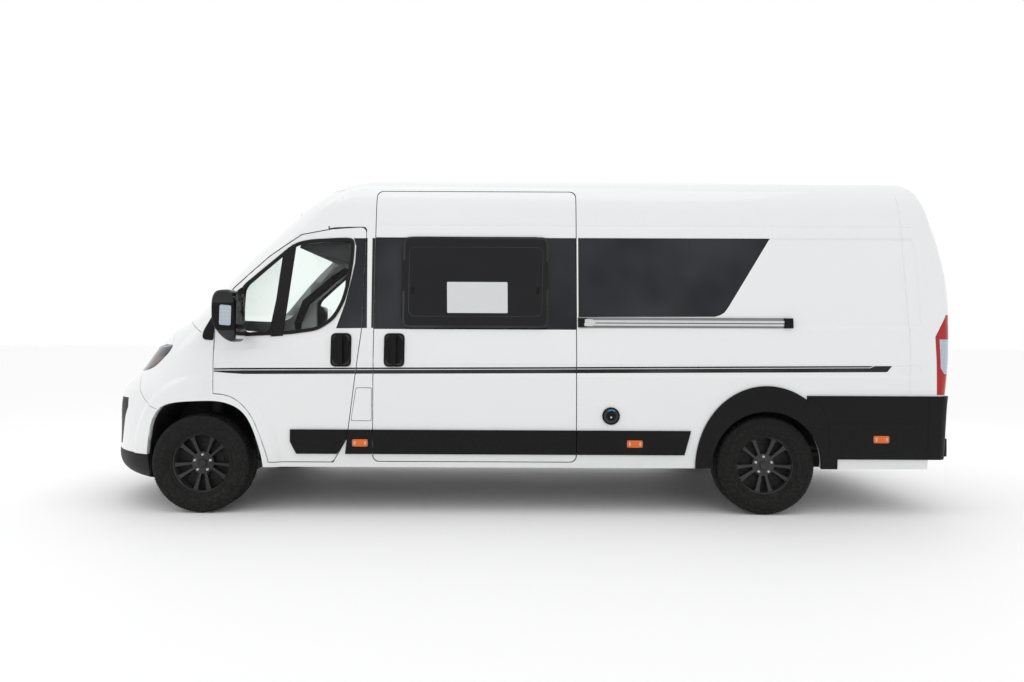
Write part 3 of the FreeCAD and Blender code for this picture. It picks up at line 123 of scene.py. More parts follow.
class BodyForm:
    # The outer form of the body, moved inward by the inset.
    def __init__(self, inset):
        self.tables = []
        for band in bands:
            topDrop = max(inset, 0.0) if band is bands[-1] else 0.0
            base, top = band[0][0] * van["height"], band[-1][0] * van["height"]
            rows = []
            for zShare, noseShare, sweepShare, widthShare, tailShare in band:
                z = zShare * van["height"]
                z -= topDrop * (z - base) / (top - base)
                half = max(widthShare * van["halfWidth"] - inset, van["roofCap"])
                sweep = min(sweepShare * van["frontOverhang"] - inset / 2, half * van["sweepLimit"])
                nose = frontX + noseShare * van["frontOverhang"] + inset
                tail = rearX - tailShare * rearOverhang * van["tailScale"] - inset
                corner = min(van["cornerRadius"], half / 2)
                rows.append((z, half, sweep, nose, tail, corner, min(van["rearBow"], corner / 2)))
            table = np.array(rows)
            bends = [cubicThrough(table[:, 0], table[:, i]) for i in range(1, 7)]
            self.tables.append((table, bends))

    def level(self, z):
        # half width, sweep, nose, tail, corner and bow at each height
        out = np.zeros((6, len(z)))
        for table, bends in self.tables:
            low, high = table[0, 0], table[-1, 0]
            first, last = table is self.tables[0][0], table is self.tables[-1][0]
            here = (z >= (low if not first else -1e9)) & (z <= (high if not last else 1e9))
            zz = np.clip(z[here], low, high)
            for i in range(6):
                out[i, here] = cubicAt(table[:, 0], table[:, i + 1], bends[i], zz)
        return out

    def outside(self, p):
        # A measure that is 0 on the form, positive outside; about metres near it.
        x, y, z = p[:, 0], np.abs(p[:, 1]), p[:, 2]
        half, sweep, nose, tail, corner, bow = self.level(z)
        centre = nose + sweep
        across = y / half
        along = (centre - x) / sweep
        atNose = (np.hypot(along, across) - 1) * np.sqrt(half * sweep)
        atSide = y - half
        # rear corner: circle through its two ends and its middle
        cornerX = corner * (1 - math.sqrt(0.5)) + bow * math.sqrt(0.5)
        cornerY = corner * (1 - math.sqrt(0.5))
        cx, cy, cr = circleThrough(tail - corner, half, tail - cornerX, half - cornerY,
                                   tail - bow, half - corner)
        atCorner = np.hypot(x - cx, y - cy) - cr
        bowRadius = ((half - corner) ** 2 + bow ** 2) / (2 * bow)
        atTail = np.hypot(x - (tail - bowRadius), y) - bowRadius
        rear = np.where(y > half - corner, atCorner, atTail)
        out = np.where(x < centre, atNose, np.where(x > tail - corner, rear, atSide))
        top = self.tables[-1][0][-1, 0]
        return np.where(z > top, np.maximum(out, z - top), out)

    def slope(self, p, step=0.0004):
        offsets = np.eye(3) * step
        return np.stack([(self.outside(p + d) - self.outside(p - d)) / (2 * step) for d in offsets], axis=1)


def circleThrough(ax, ay, bx, by, cx, cy):
    d = 2 * (ax * (by - cy) + bx * (cy - ay) + cx * (ay - by))
    a, b, c = ax**2 + ay**2, bx**2 + by**2, cx**2 + cy**2
    ux = (a * (by - cy) + b * (cy - ay) + c * (ay - by)) / d
    uy = (a * (cx - bx) + b * (ax - cx) + c * (bx - ax)) / d
    return ux, uy, np.hypot(ax - ux, ay - uy)


forms = {}
halvings = 26


def formAt(inset):
    if inset not in forms:
        forms[inset] = BodyForm(inset)
    return forms[inset]


def skinY(x, z, inset=0.0):
    # half width of the body's skin at x and z, by halving
    x, z = np.broadcast_arrays(np.asarray(x, float), np.asarray(z, float))
    low, high = np.full(x.shape, 0.02), np.full(x.shape, 1.15)
    form = formAt(inset)
    for _ in range(halvings):
        middle = (low + high) / 2
        out = form.outside(np.stack([x.ravel(), middle.ravel(), z.ravel()], axis=1)).reshape(x.shape) > 0
        high = np.where(out, middle, high)
        low = np.where(out, low, middle)
    return (low + high) / 2


# Camera at the photograph's place: about 5 m from the left side, at chest height
cameraSet = {"place": (-0.014, -5.867, 1.238), "lens": 24.0, "rollDeg": 0.25}


def addObject(name, data):
    made = bpy.data.objects.new(name, data)
    bpy.context.scene.collection.objects.link(made)
    return made


def makeCamera():
    data = bpy.data.cameras.new("camera")
    data.lens = cameraSet["lens"]
    data.sensor_width = 36.0
    camera = addObject("camera", data)
    camera.location = cameraSet["place"]
    camera.rotation_euler = (math.radians(90), math.radians(-cameraSet["rollDeg"]), 0)
    bpy.context.scene.camera = camera


makeCamera()

studio = {
    "floorColour": (0.96, 0.96, 0.96, 1),
    "floorSize": 240.0,
    "floorRough": 0.7,
    "worldColour": (1.0, 1.0, 1.0, 1),
    "worldStrength": 1.0,
    "softBoxes": [
        # place, aim, width, height, power
        ((-0.5, -1.5, 7.0), (0.0, 0.0, 1.0), 9.0, 4.0, 60.0),
        ((-6.5, -3.0, 4.5), (-2.0, 0.0, 1.0), 3.5, 3.5, 25.0),
        ((5.5, 4.5, 4.5), (1.0, 0.0, 1.2), 4.0, 3.0, 25.0),
    ],
}


def makeStudio():
    world = bpy.data.worlds.new("softRoom")
    world.use_nodes = True
    sky = world.node_tree.nodes["Background"]
    sky.inputs["Color"].default_value = studio["worldColour"]
    sky.inputs["Strength"].default_value = studio["worldStrength"]
    bpy.context.scene.world = world
    for i, (place, aim, wide, high, power) in enumerate(studio["softBoxes"]):
        data = bpy.data.lights.new("softBox%d" % i, "AREA")
        data.shape = "RECTANGLE"
        data.size, data.size_y = wide, high
        data.energy = power
        lamp = addObject("softBox%d" % i, data)
        lamp.location = place
        lamp.rotation_euler = (Vector(aim) - Vector(place)).to_track_quat("-Z", "Y").to_euler()
    half = studio["floorSize"] / 2
    mesh = bpy.data.meshes.new("studioFloor")
    corners = [(-half, -half, 0), (half, -half, 0), (half, half, 0), (-half, half, 0)]
    mesh.from_pydata(corners, [], [(0, 1, 2, 3)])
    floor = addObject("studioFloor", mesh)
    paper = bpy.data.materials.new("studioPaper")
    paper.use_nodes = True
    shader = paper.node_tree.nodes["Principled BSDF"]
    shader.inputs["Base Color"].default_value = studio["floorColour"]
    shader.inputs["Roughness"].default_value = studio["floorRough"]
    mesh.materials.append(paper)


makeStudio()
bpy.context.scene.view_settings.view_transform = "Standard"
print("camera and studio made")


# Shader node groups

def newGroup(name, inputs, outputs=("Colour", "Roughness", "Height")):
    # inputs as (label, start); the start's form says whether it is a colour, a vector or a number
    tree = bpy.data.node_groups.new(name, "ShaderNodeTree")
    for label, start in inputs:
        kind = "Float" if isinstance(start, float) else "Color" if len(start) == 4 else "Vector"
        socket = tree.interface.new_socket(name=label, in_out="INPUT", socket_type="NodeSocket" + kind)
        socket.default_value = start
    for label in outputs:
        kind = "Color" if label == "Colour" else "Float"
        tree.interface.new_socket(name=label, in_out="OUTPUT", socket_type="NodeSocket" + kind)
    return tree, tree.nodes.new("NodeGroupInput").outputs, tree.nodes.new("NodeGroupOutput").inputs


def feed(tree, socket, value):
    if isinstance(value, bpy.types.NodeSocket):
        tree.links.new(value, socket)
    else:
        socket.default_value = value


def calc(tree, operation, a, b=0.0, clamp=False):
    node = tree.nodes.new("ShaderNodeMath")
    node.operation = operation
    node.use_clamp = clamp
    feed(tree, node.inputs[0], a)
    feed(tree, node.inputs[1], b)
    return node.outputs[0]


def mixColour(tree, share, a, b):
    node = tree.nodes.new("ShaderNodeMix")
    node.data_type = "RGBA"
    feed(tree, node.inputs["Factor"], share)
    feed(tree, node.inputs[6], a)
    feed(tree, node.inputs[7], b)
    return node.outputs[2]


def noiseAt(tree, place, scale, detail=3.0, rough=0.5):
    node = tree.nodes.new("ShaderNodeTexNoise")
    feed(tree, node.inputs["Vector"], place)
    feed(tree, node.inputs["Scale"], scale)
    node.inputs["Detail"].default_value = detail
    node.inputs["Roughness"].default_value = rough
    return node.outputs["Fac"]


def spread(tree, value, low, high, toLow, toHigh):
    node = tree.nodes.new("ShaderNodeMapRange")
    for socket, v in zip(node.inputs, (value, low, high, toLow, toHigh)):
        feed(tree, socket, v)
    return node.outputs["Result"]


def objectPlace(tree):
    return tree.nodes.new("ShaderNodeTexCoord").outputs["Object"]


def lowDown(tree, place, bottom, top):
    # 1 at the bottom height, 0 at the top height
    node = tree.nodes.new("ShaderNodeSeparateXYZ")
    feed(tree, node.inputs[0], place)
    return spread(tree, node.outputs[2], bottom, top, 1.0, 0.0)


def crossedWaves(tree, place, directions, scale, distortion):
    waves = []
    for direction in directions:
        wave = tree.nodes.new("ShaderNodeTexWave")
        wave.bands_direction = direction
        feed(tree, wave.inputs["Vector"], place)
        feed(tree, wave.inputs["Scale"], scale)
        feed(tree, wave.inputs["Distortion"], distortion)
        waves.append(wave.outputs["Fac"])
    return calc(tree, "MULTIPLY", *waves)


def varied(tree, rough, value, low, high, reach):
    # a roughness that wanders round its set value
    return calc(tree, "ADD", rough, spread(tree, value, low, high, -reach, reach), True)


def makePaintGroup():
    # Sprayed paint: faint cloud in the colour, road film low down, fine peel
    tree, enter, leave = newGroup("paintFilm", [
        ("Colour", (0.8, 0.8, 0.8, 1)), ("Film", (0.5, 0.5, 0.48, 1)), ("Film Top", 0.6), ("Film Share", 0.2),
        ("Peel Scale", 240.0)])
    place = objectPlace(tree)
    cloud = noiseAt(tree, place, 1.6, 2.0)
    film = lowDown(tree, place, 0.2, enter["Film Top"])
    specks = noiseAt(tree, place, 34.0, 4.0, 0.6)
    dirt = calc(tree, "MULTIPLY", calc(tree, "MULTIPLY", film, specks), enter["Film Share"], True)
    share = spread(tree, cloud, 0.35, 0.65, 0.0, 0.035)
    shaded = mixColour(tree, share, enter["Colour"], (0.6, 0.63, 0.67, 1))
    feed(tree, leave["Colour"], mixColour(tree, dirt, shaded, enter["Film"]))
    rough = calc(tree, "ADD", spread(tree, cloud, 0.3, 0.7, 0.10, 0.16), calc(tree, "MULTIPLY", dirt, 0.6))
    feed(tree, leave["Roughness"], rough)
    feed(tree, leave["Height"], noiseAt(tree, place, enter["Peel Scale"], 2.0))
    return tree


def makeGrainGroup():
    # Moulded plastic or rubber: pebble grain, patches faded by sun, dust low down
    tree, enter, leave = newGroup("mouldedGrain", [
        ("Colour", (0.03, 0.03, 0.03, 1)), ("Faded", (0.09, 0.09, 0.09, 1)), ("Grain Scale", 700.0),
        ("Rough", 0.5), ("Dust Share", 0.2), ("Dust Top", 0.8)])
    place = objectPlace(tree)
    patches = noiseAt(tree, place, 5.0, 4.0, 0.6)
    pebble = tree.nodes.new("ShaderNodeTexVoronoi")
    feed(tree, pebble.inputs["Vector"], place)
    feed(tree, pebble.inputs["Scale"], enter["Grain Scale"])
    low = lowDown(tree, place, 0.1, enter["Dust Top"])
    specks = spread(tree, noiseAt(tree, place, 60.0, 5.0, 0.7), 0.45, 0.75, 0.0, 1.0)
    dust = calc(tree, "MULTIPLY", calc(tree, "MULTIPLY", low, specks), enter["Dust Share"], True)
    faded = mixColour(tree, spread(tree, patches, 0.4, 0.75, 0.0, 0.45), enter["Colour"], enter["Faded"])
    feed(tree, leave["Colour"], mixColour(tree, dust, faded, (0.20, 0.185, 0.165, 1)))
    feed(tree, leave["Roughness"], varied(tree, enter["Rough"], patches, 0.3, 0.7, 0.06))
    feed(tree, leave["Height"], pebble.outputs["Distance"])
    return tree


def makeBrushedGroup():
    # Metal with drawn or brushed lines along one axis
    tree, enter, leave = newGroup("brushedMetal", [
        ("Colour", (0.6, 0.6, 0.6, 1)), ("Stain", (0.3, 0.28, 0.26, 1)), ("Stretch", (4.0, 300.0, 300.0)),
        ("Rough", 0.35), ("Stain Share", 0.2)])
    place = objectPlace(tree)
    scaled = tree.nodes.new("ShaderNodeVectorMath")
    scaled.operation = "MULTIPLY"
    feed(tree, scaled.inputs[0], place)
    feed(tree, scaled.inputs[1], enter["Stretch"])
    lines = noiseAt(tree, scaled.outputs[0], 1.0, 3.0, 0.6)
    stains = spread(tree, noiseAt(tree, place, 14.0, 5.0, 0.65), 0.45, 0.8, 0.0, 1.0)
    share = calc(tree, "MULTIPLY", stains, enter["Stain Share"], True)
    feed(tree, leave["Colour"], mixColour(tree, share, enter["Colour"], enter["Stain"]))
    feed(tree, leave["Roughness"], varied(tree, enter["Rough"], lines, 0.3, 0.7, 0.08))
    feed(tree, leave["Height"], lines)
    return tree


def makeClothGroup():
    # Woven seat cloth with two thread directions and lighter flecks
    tree, enter, leave = newGroup("wovenCloth", [
        ("Colour", (0.1, 0.1, 0.1, 1)), ("Fleck", (0.2, 0.2, 0.2, 1)), ("Thread Scale", 320.0)])
    place = objectPlace(tree)
    weave = crossedWaves(tree, place, "YZ", enter["Thread Scale"], 0.6)
    flecks = spread(tree, noiseAt(tree, place, 180.0, 4.0, 0.7), 0.5, 0.7, 0.0, 0.6)
    feed(tree, leave["Colour"], mixColour(tree, flecks, enter["Colour"], enter["Fleck"]))
    feed(tree, leave["Roughness"], spread(tree, weave, 0.0, 1.0, 0.75, 0.9))
    feed(tree, leave["Height"], weave)
    return tree


def makeSmearGroup():
    # Glass and lenses: faint smears that only change the roughness and the tint
    tree, enter, leave = newGroup("glassSmear", [
        ("Tint", (0.8, 0.9, 0.88, 1)), ("Deep Tint", (0.7, 0.85, 0.8, 1)), ("Rough", 0.02)],
        ("Colour", "Roughness"))
    smears = noiseAt(tree, objectPlace(tree), 3.0, 5.0, 0.7)
    share = spread(tree, smears, 0.3, 0.7, 0.0, 0.5)
    feed(tree, leave["Colour"], mixColour(tree, share, enter["Tint"], enter["Deep Tint"]))
    haze = spread(tree, smears, 0.5, 0.8, 0.0, 0.03)
    feed(tree, leave["Roughness"], calc(tree, "ADD", enter["Rough"], haze, True))
    return tree


def makePrismGroup():
    # Lamp lens: small moulded prisms in rows and columns
    tree, enter, leave = newGroup("lensPrisms", [
        ("Colour", (0.8, 0.1, 0.05, 1)), ("Deep", (0.4, 0.02, 0.02, 1)), ("Pitch Scale", 60.0)],
        ("Colour", "Height"))
    prisms = crossedWaves(tree, objectPlace(tree), "XZ", enter["Pitch Scale"], 0.0)
    feed(tree, leave["Colour"], mixColour(tree, prisms, enter["Deep"], enter["Colour"]))
    feed(tree, leave["Height"], prisms)
    return tree


groups = {
    "paint": makePaintGroup(), "grain": makeGrainGroup(), "brushed": makeBrushedGroup(),
    "cloth": makeClothGroup(), "smear": makeSmearGroup(), "prism": makePrismGroup(),
}
print("shader groups made:", len(groups))


def makeMaterial(name, group, values, uniform=None, bump=0.0, distance=0.001):
    # One Principled shader fed by one group; uniform numbers stay on the shader's own sockets
    material = bpy.data.materials.new(name)
    material.use_nodes = True
    tree = material.node_tree
    shader = tree.nodes["Principled BSDF"]
    node = tree.nodes.new("ShaderNodeGroup")
    node.node_tree = groups[group]
    for label, value in values.items():
        node.inputs[label].default_value = value
    outs = {socket.name: socket for socket in node.outputs}
    tree.links.new(outs["Colour"], shader.inputs["Base Color"])
    if "Roughness" in outs:
        tree.links.new(outs["Roughness"], shader.inputs["Roughness"])
    if bump > 0:
        relief = tree.nodes.new("ShaderNodeBump")
        relief.inputs["Strength"].default_value = bump
        relief.inputs["Distance"].default_value = distance
        tree.links.new(outs["Height"], relief.inputs["Height"])
        tree.links.new(relief.outputs["Normal"], shader.inputs["Normal"])
    for label, value in (uniform or {}).items():
        shader.inputs[label].default_value = value
    return material


def grey(v):
    return (v, v, v, 1)


finishes = {
    # name: group, the group's values, the shader's own numbers, bump strength and distance
    "bodyWhite": ("paint", {"Colour": (0.77, 0.78, 0.785, 1), "Film": (0.42, 0.40, 0.37, 1),
        "Film Share": 0.25}, {"Coat Weight": 0.6, "Coat Roughness": 0.04}, 0.02, 0.0004),
    "bandBlack": ("paint", {"Colour": (0.0075, 0.0085, 0.0115, 1), "Film": (0.1, 0.1, 0.1, 1),
        "Film Share": 0.1}, {"Specular IOR Level": 0.2}, 0.02, 0.0004),
    "stripeBlack": ("paint", {"Colour": (0.012, 0.012, 0.013, 1), "Film": (0.1, 0.1, 0.1, 1)},
        {"Specular IOR Level": 0.15}, 0.02, 0.0004),
    "claddingBlack": ("grain", {"Colour": (0.0045, 0.0045, 0.005, 1), "Faded": (0.009, 0.009, 0.0085, 1),
        "Grain Scale": 520.0, "Rough": 0.5, "Dust Share": 0.05}, {"Specular IOR Level": 0.15}, 0.25,
        0.0006),
    "glossBlack": ("paint", {"Colour": (0.006, 0.006, 0.0065, 1), "Film": (0.05, 0.047, 0.043, 1),
        "Film Share": 0.15}, {"Specular IOR Level": 0.3}, 0.02, 0.0004),
    "sealRubber": ("grain", {"Colour": grey(0.007), "Faded": grey(0.014), "Grain Scale": 900.0,
        "Rough": 0.6, "Dust Share": 0.05}, {"Specular IOR Level": 0.2}, 0.15, 0.0004),
    "tyreRubber": ("grain", {"Colour": grey(0.0045), "Faded": (0.010, 0.0095, 0.009, 1),
        "Grain Scale": 420.0, "Rough": 0.66, "Dust Share": 0.12, "Dust Top": 1.2},
        {"Specular IOR Level": 0.18}, 0.2, 0.0005),
    "wheelBlack": ("paint", {"Colour": (0.006, 0.006, 0.0065, 1), "Film": (0.05, 0.046, 0.04, 1),
        "Film Share": 0.15, "Film Top": 0.9}, {"Specular IOR Level": 0.35}, 0.02, 0.0004),
    "boltSteel": ("brushed", {"Colour": grey(0.62), "Stain": (0.25, 0.2, 0.16, 1), "Rough": 0.3,
        "Stretch": (60.0, 60.0, 60.0)}, {"Metallic": 1.0}, 0.1, 0.0004),
    "darkSteel": ("grain", {"Colour": grey(0.010), "Faded": (0.022, 0.02, 0.018, 1), "Grain Scale": 300.0,
        "Rough": 0.6, "Dust Share": 0.15, "Dust Top": 1.1}, {"Specular IOR Level": 0.2}, 0.2, 0.0006),
    "engineIron": ("grain", {"Colour": grey(0.10), "Faded": (0.16, 0.13, 0.11, 1), "Grain Scale": 240.0,
        "Rough": 0.7, "Dust Share": 0.4, "Dust Top": 1.6}, {}, 0.4, 0.001),
    "dashPlastic": ("grain", {"Colour": (0.035, 0.036, 0.04, 1), "Faded": (0.06, 0.06, 0.065, 1),
        "Grain Scale": 620.0, "Rough": 0.6, "Dust Share": 0.0}, {}, 0.25, 0.0006),
    "seatCloth": ("cloth", {"Colour": (0.045, 0.046, 0.05, 1), "Fleck": (0.13, 0.13, 0.14, 1)},
        {"Sheen Weight": 0.3}, 0.4, 0.0008),
    "screenGlass": ("smear", {"Tint": (0.95, 0.985, 0.97, 1), "Deep Tint": (0.93, 0.975, 0.955, 1)},
        {"Transmission Weight": 1.0, "IOR": 1.2}),
    "doorGlass": ("smear", {"Tint": (0.95, 0.99, 0.97, 1), "Deep Tint": (0.93, 0.98, 0.955, 1)},
        {"Transmission Weight": 1.0, "IOR": 1.2}),
    "rearGlass": ("smear", {"Tint": (0.10, 0.11, 0.11, 1), "Deep Tint": (0.07, 0.08, 0.08, 1)},
        {"Transmission Weight": 0.6, "IOR": 1.4}),
    "paneBlack": ("smear", {"Tint": (0.0028, 0.003, 0.0042, 1), "Deep Tint": (0.006, 0.006, 0.0075, 1),
        "Rough": 0.04}, {"Specular IOR Level": 0.25}),
    "lampClear": ("smear", {"Tint": (0.92, 0.94, 0.95, 1), "Deep Tint": (0.88, 0.91, 0.93, 1)},
        {"Transmission Weight": 1.0, "IOR": 1.15}),
    "lampRed": ("prism", {"Colour": (0.52, 0.005, 0.006, 1), "Deep": (0.30, 0.003, 0.004, 1),
        "Pitch Scale": 34.0}, {"Roughness": 0.12, "Coat Weight": 0.4, "Specular IOR Level": 0.3}, 0.2,
        0.0008),
    "lampGrey": ("prism", {"Colour": (0.55, 0.62, 0.68, 1), "Deep": (0.33, 0.38, 0.44, 1),
        "Pitch Scale": 34.0}, {"Roughness": 0.1, "Coat Weight": 0.8}, 0.2, 0.0008),
    "lampDark": ("smear", {"Tint": (0.008, 0.010, 0.016, 1), "Deep Tint": (0.020, 0.024, 0.034, 1),
        "Rough": 0.05}, {"Specular IOR Level": 0.6}),
    "lampBrow": ("smear", {"Tint": (0.30, 0.34, 0.40, 1), "Deep Tint": (0.14, 0.16, 0.20, 1),
        "Rough": 0.05}, {"Specular IOR Level": 0.6}),
    "lampAmber": ("prism", {"Colour": (0.24, 0.11, 0.05, 1), "Deep": (0.05, 0.035, 0.03, 1),
        "Pitch Scale": 26.0}, {"Roughness": 0.1, "Specular IOR Level": 0.6}, 0.3, 0.0008),
    "amberLens": ("prism", {"Colour": (0.92, 0.24, 0.006, 1), "Deep": (0.62, 0.09, 0.002, 1),
        "Pitch Scale": 70.0}, {"Roughness": 0.12, "Coat Weight": 0.4, "Specular IOR Level": 0.3}, 0.3,
        0.0008),
    "railSilver": ("brushed", {"Colour": grey(0.62), "Stain": grey(0.45), "Rough": 0.35},
        {"Metallic": 0.85}, 0.05, 0.0003),
    "tankPlastic": ("grain", {"Colour": grey(0.02), "Faded": grey(0.045), "Grain Scale": 300.0,
        "Rough": 0.6, "Dust Share": 0.5, "Dust Top": 1.0}, {}, 0.25, 0.0008),
    "exhaustSteel": ("brushed", {"Colour": (0.42, 0.40, 0.37, 1), "Stain": (0.20, 0.11, 0.06, 1),
        "Rough": 0.45, "Stain Share": 0.7, "Stretch": (8.0, 80.0, 80.0)}, {"Metallic": 0.9}, 0.1, 0.0005),
    "floorSteel": ("grain", {"Colour": grey(0.11), "Faded": grey(0.16), "Grain Scale": 260.0, "Rough": 0.55,
        "Dust Share": 0.3, "Dust Top": 0.8}, {}, 0.2, 0.0006),
    # seamGrey: painted shade along the panel joints; the slide rail's grey backing uses it too
    "seamGrey": ("paint", {"Colour": (0.20, 0.205, 0.21, 1), "Film Share": 0.2},
        {"Specular IOR Level": 0.2}, 0.02, 0.0003),
    "cardGrey": ("grain", {"Colour": (0.62, 0.63, 0.64, 1), "Faded": (0.60, 0.61, 0.62, 1),
        "Grain Scale": 900.0, "Rough": 0.6, "Dust Share": 0.0}, {}, 0.02, 0.0003),
    "plateWhite": ("paint", {"Colour": (0.78, 0.78, 0.76, 1), "Film Share": 0.3}, {"Coat Weight": 0.5},
        0.02, 0.0003),
    "capBlue": ("paint", {"Colour": (0.02, 0.12, 0.35, 1), "Film Share": 0.1}, {"Coat Weight": 0.3}, 0.02,
        0.0003),
    "chrome": ("brushed", {"Colour": grey(0.85), "Stain": grey(0.7), "Rough": 0.1,
        "Stretch": (20.0, 20.0, 20.0)}, {"Metallic": 1.0}, 0.02, 0.0002),
    "sailGrey": ("grain", {"Colour": grey(0.16), "Faded": grey(0.2), "Grain Scale": 500.0, "Rough": 0.45,
        "Dust Share": 0.0}, {}, 0.1, 0.0004),
}
finish = {name: makeMaterial(name, *entry) for name, entry in finishes.items()}
print("materials made:", len(finish))

nodesWith = {
    # finish: the nodes that have it, without left and right; all others are white
    "floorSteel": ("floor",),
    "screenGlass": ("windscreen",),
    "claddingBlack": ("bumper_lower", "grille", "side_mouldings", "rear_bumper", "mirror", "door_trim"),
    "lampClear": ("headlamps",),
    "darkSteel": ("radiator_panel", "wheel_housings", "front_suspension", "rear_axle", "knuckle"),
    "engineIron": ("engine",),
    "dashPlastic": ("dashboard",),
    "seatCloth": ("cab_seats",),
    "paneBlack": ("side_windows",),
    "sealRubber": ("door_seals",),
    "railSilver": ("slide_rail",),
    "amberLens": ("side_markers",),
    "lampRed": ("tail_lamps",),
    "tankPlastic": ("fuel_tank",),
    "exhaustSteel": ("exhaust",),
    "tyreRubber": ("spare_wheel", "tyre_front", "tyre_rear"),
    "doorGlass": ("cab_glass",),
    "rearGlass": ("rear_glass",),
    "wheelBlack": ("rim_front", "rim_rear"),
}
nodeFinish = {name: label for label, names in nodesWith.items() for name in names}
for name, node in nodes.items():
    stem = name.removesuffix("_left").removesuffix("_right")
    for place in node.material_slots:
        place.material = finish[nodeFinish.get(stem, "bodyWhite")]


# Small builders

def newPiece(name, bm, body, materials, sharpDeg=35.0):
    mesh = bpy.data.meshes.new(name)
    bm.normal_update()
    bm.to_mesh(mesh)
    bm.free()
    for label in materials:
        mesh.materials.append(finish[label])
    piece = addObject(name, mesh)
    mesh.shade_smooth()
    mesh.set_sharp_from_angle(angle=math.radians(sharpDeg))
    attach(piece, body)
    return piece


def colourFaces(faces, material):
    for face in faces:
        face.material_index = material


def bridge(bm, rings):
    # faces between closed rings with the same number of points
    faces = []
    for a, b in zip(rings, rings[1:]):
        count = len(a)
        faces += [bm.faces.new((a[i], a[(i + 1) % count], b[(i + 1) % count], b[i])) for i in range(count)]
    return faces


def capped(bm, rings):
    return [bm.faces.new(rings[0]), bm.faces.new(rings[-1])] + bridge(bm, rings)


def quad(x0, x1, z0, z1):
    return [(x0, z0), (x1, z0), (x1, z1), (x0, z1)]


def scaled(profile, radius):
    # a profile given as shares of the radius
    return [(share * radius, along) for share, along in profile]


def cutPlanes(bm, planes):
    for point, normal in planes:
        bmesh.ops.bisect_plane(bm, geom=bm.verts[:] + bm.edges[:] + bm.faces[:], dist=1e-6,
                               plane_co=point, plane_no=normal)


def turned(bm, profile, centre, count, sense, material=0):
    # Revolve (radius, along) points round a sideways axis; the end radii may be 0
    rings = []
    for radius, along in profile:
        ring = []
        for i in range(count if radius > 0 else 1):
            a = 2 * math.pi * i / count
            offset = Vector((radius * math.cos(a), along * sense, radius * math.sin(a)))
            ring.append(bm.verts.new(Vector(centre) + offset))
        rings.append(ring)
    faces = []
    for a, b in zip(rings, rings[1:]):
        for i in range(count):
            corners = []
            for vert in (a[i % len(a)], a[(i + 1) % len(a)], b[(i + 1) % len(b)], b[i % len(b)]):
                if vert not in corners:
                    corners.append(vert)
            if len(corners) > 2:
                faces.append(bm.faces.new(corners))
    colourFaces(faces, material)
    bmesh.ops.recalc_face_normals(bm, faces=faces)


def roundedOutline(points, radius, steps=4):
    # Corners of a polygon rounded by arcs (quadratic), each within its half of the edge
    out = []
    count = len(points)
    edgeShare = 0.48
    for i, point in enumerate(points):
        p, a, b = Vector(point), Vector(points[i - 1]), Vector(points[(i + 1) % count])
        start = p + (a - p).normalized() * min(radius, (a - p).length * edgeShare)
        end = p + (b - p).normalized() * min(radius, (b - p).length * edgeShare)
        for k in range(steps + 1):
            t = k / steps
            out.append(tuple(start * (1 - t) ** 2 + p * 2 * t * (1 - t) + end * t * t))
    return out


def boxOutline(x, z, half, corner, steps=6):
    hx, hz = half
    return roundedOutline(quad(x - hx, x + hx, z - hz, z + hz), corner, steps)


def skinPatch(bm, outline, proud, depth, side, bevel=0.0015, pitch=0.05, material=0, base=None):
    # A plate with the outline (x, z) that follows the body's skin on one side
    made = bmesh.new()
    face = made.faces.new([made.verts.new((x, 0, z)) for x, z in outline])
    made.normal_update()
    if face.normal.y * side < 0:
        face.normal_flip()
    xs, zs = [p[0] for p in outline], [p[1] for p in outline]
    planes = [((x, 0, 0), (1, 0, 0)) for x in np.arange(min(xs) + pitch, max(xs), pitch)]
    planes += [((0, 0, z), (0, 0, 1)) for z in np.arange(min(zs) + pitch, max(zs), pitch)]
    cutPlanes(made, planes)
    extruded = bmesh.ops.extrude_face_region(made, geom=made.faces[:])
    outer = {v for v in extruded["geom"] if isinstance(v, bmesh.types.BMVert)}
    co = np.array([v.co for v in made.verts])
    y = base if base is not None else skinY(co[:, 0], co[:, 2])
    y = np.broadcast_to(y, (len(co),))
    for v, half in zip(made.verts, y):
        v.co.y = side * (half + (proud if v in outer else -depth))
    made.normal_update()
    bmesh.ops.recalc_face_normals(made, faces=made.faces[:])
    if bevel > 0:
        foldAngle = 0.8
        rim = [e for e in made.edges if len(e.link_faces) == 2 and e.verts[0] in outer and e.verts[1] in outer
               and e.calc_face_angle(0.0) > foldAngle]
        bmesh.ops.bevel(made, geom=rim, offset=bevel, segments=2, profile=0.6, affect="EDGES")
    colourFaces(made.faces, material)
    addMesh(bm, made)


def addMesh(bm, made):
    mesh = bpy.data.meshes.new("part")
    made.to_mesh(mesh)
    made.free()
    bm.from_mesh(mesh)
    bpy.data.meshes.remove(mesh)


def tube(bm, points, radius, count=12, material=0):
    # A round bar through the points, closed at both ends
    rings = []
    points = [Vector(p) for p in points]
    for i, p in enumerate(points):
        d = (points[min(i + 1, len(points) - 1)] - points[max(i - 1, 0)]).normalized()
        u = d.cross(Vector((0, 0, 1)) if abs(d.z) < 0.9 else Vector((1, 0, 0))).normalized()
        v = d.cross(u)
        angles = [2 * math.pi * k / count for k in range(count)]
        rings.append([bm.verts.new(p + u * radius * math.cos(a) + v * radius * math.sin(a)) for a in angles])
    faces = capped(bm, rings)
    colourFaces(faces, material)
    bmesh.ops.recalc_face_normals(bm, faces=faces)


# Painted panels: copies of the CAD panels with pressed lines, film and stripes

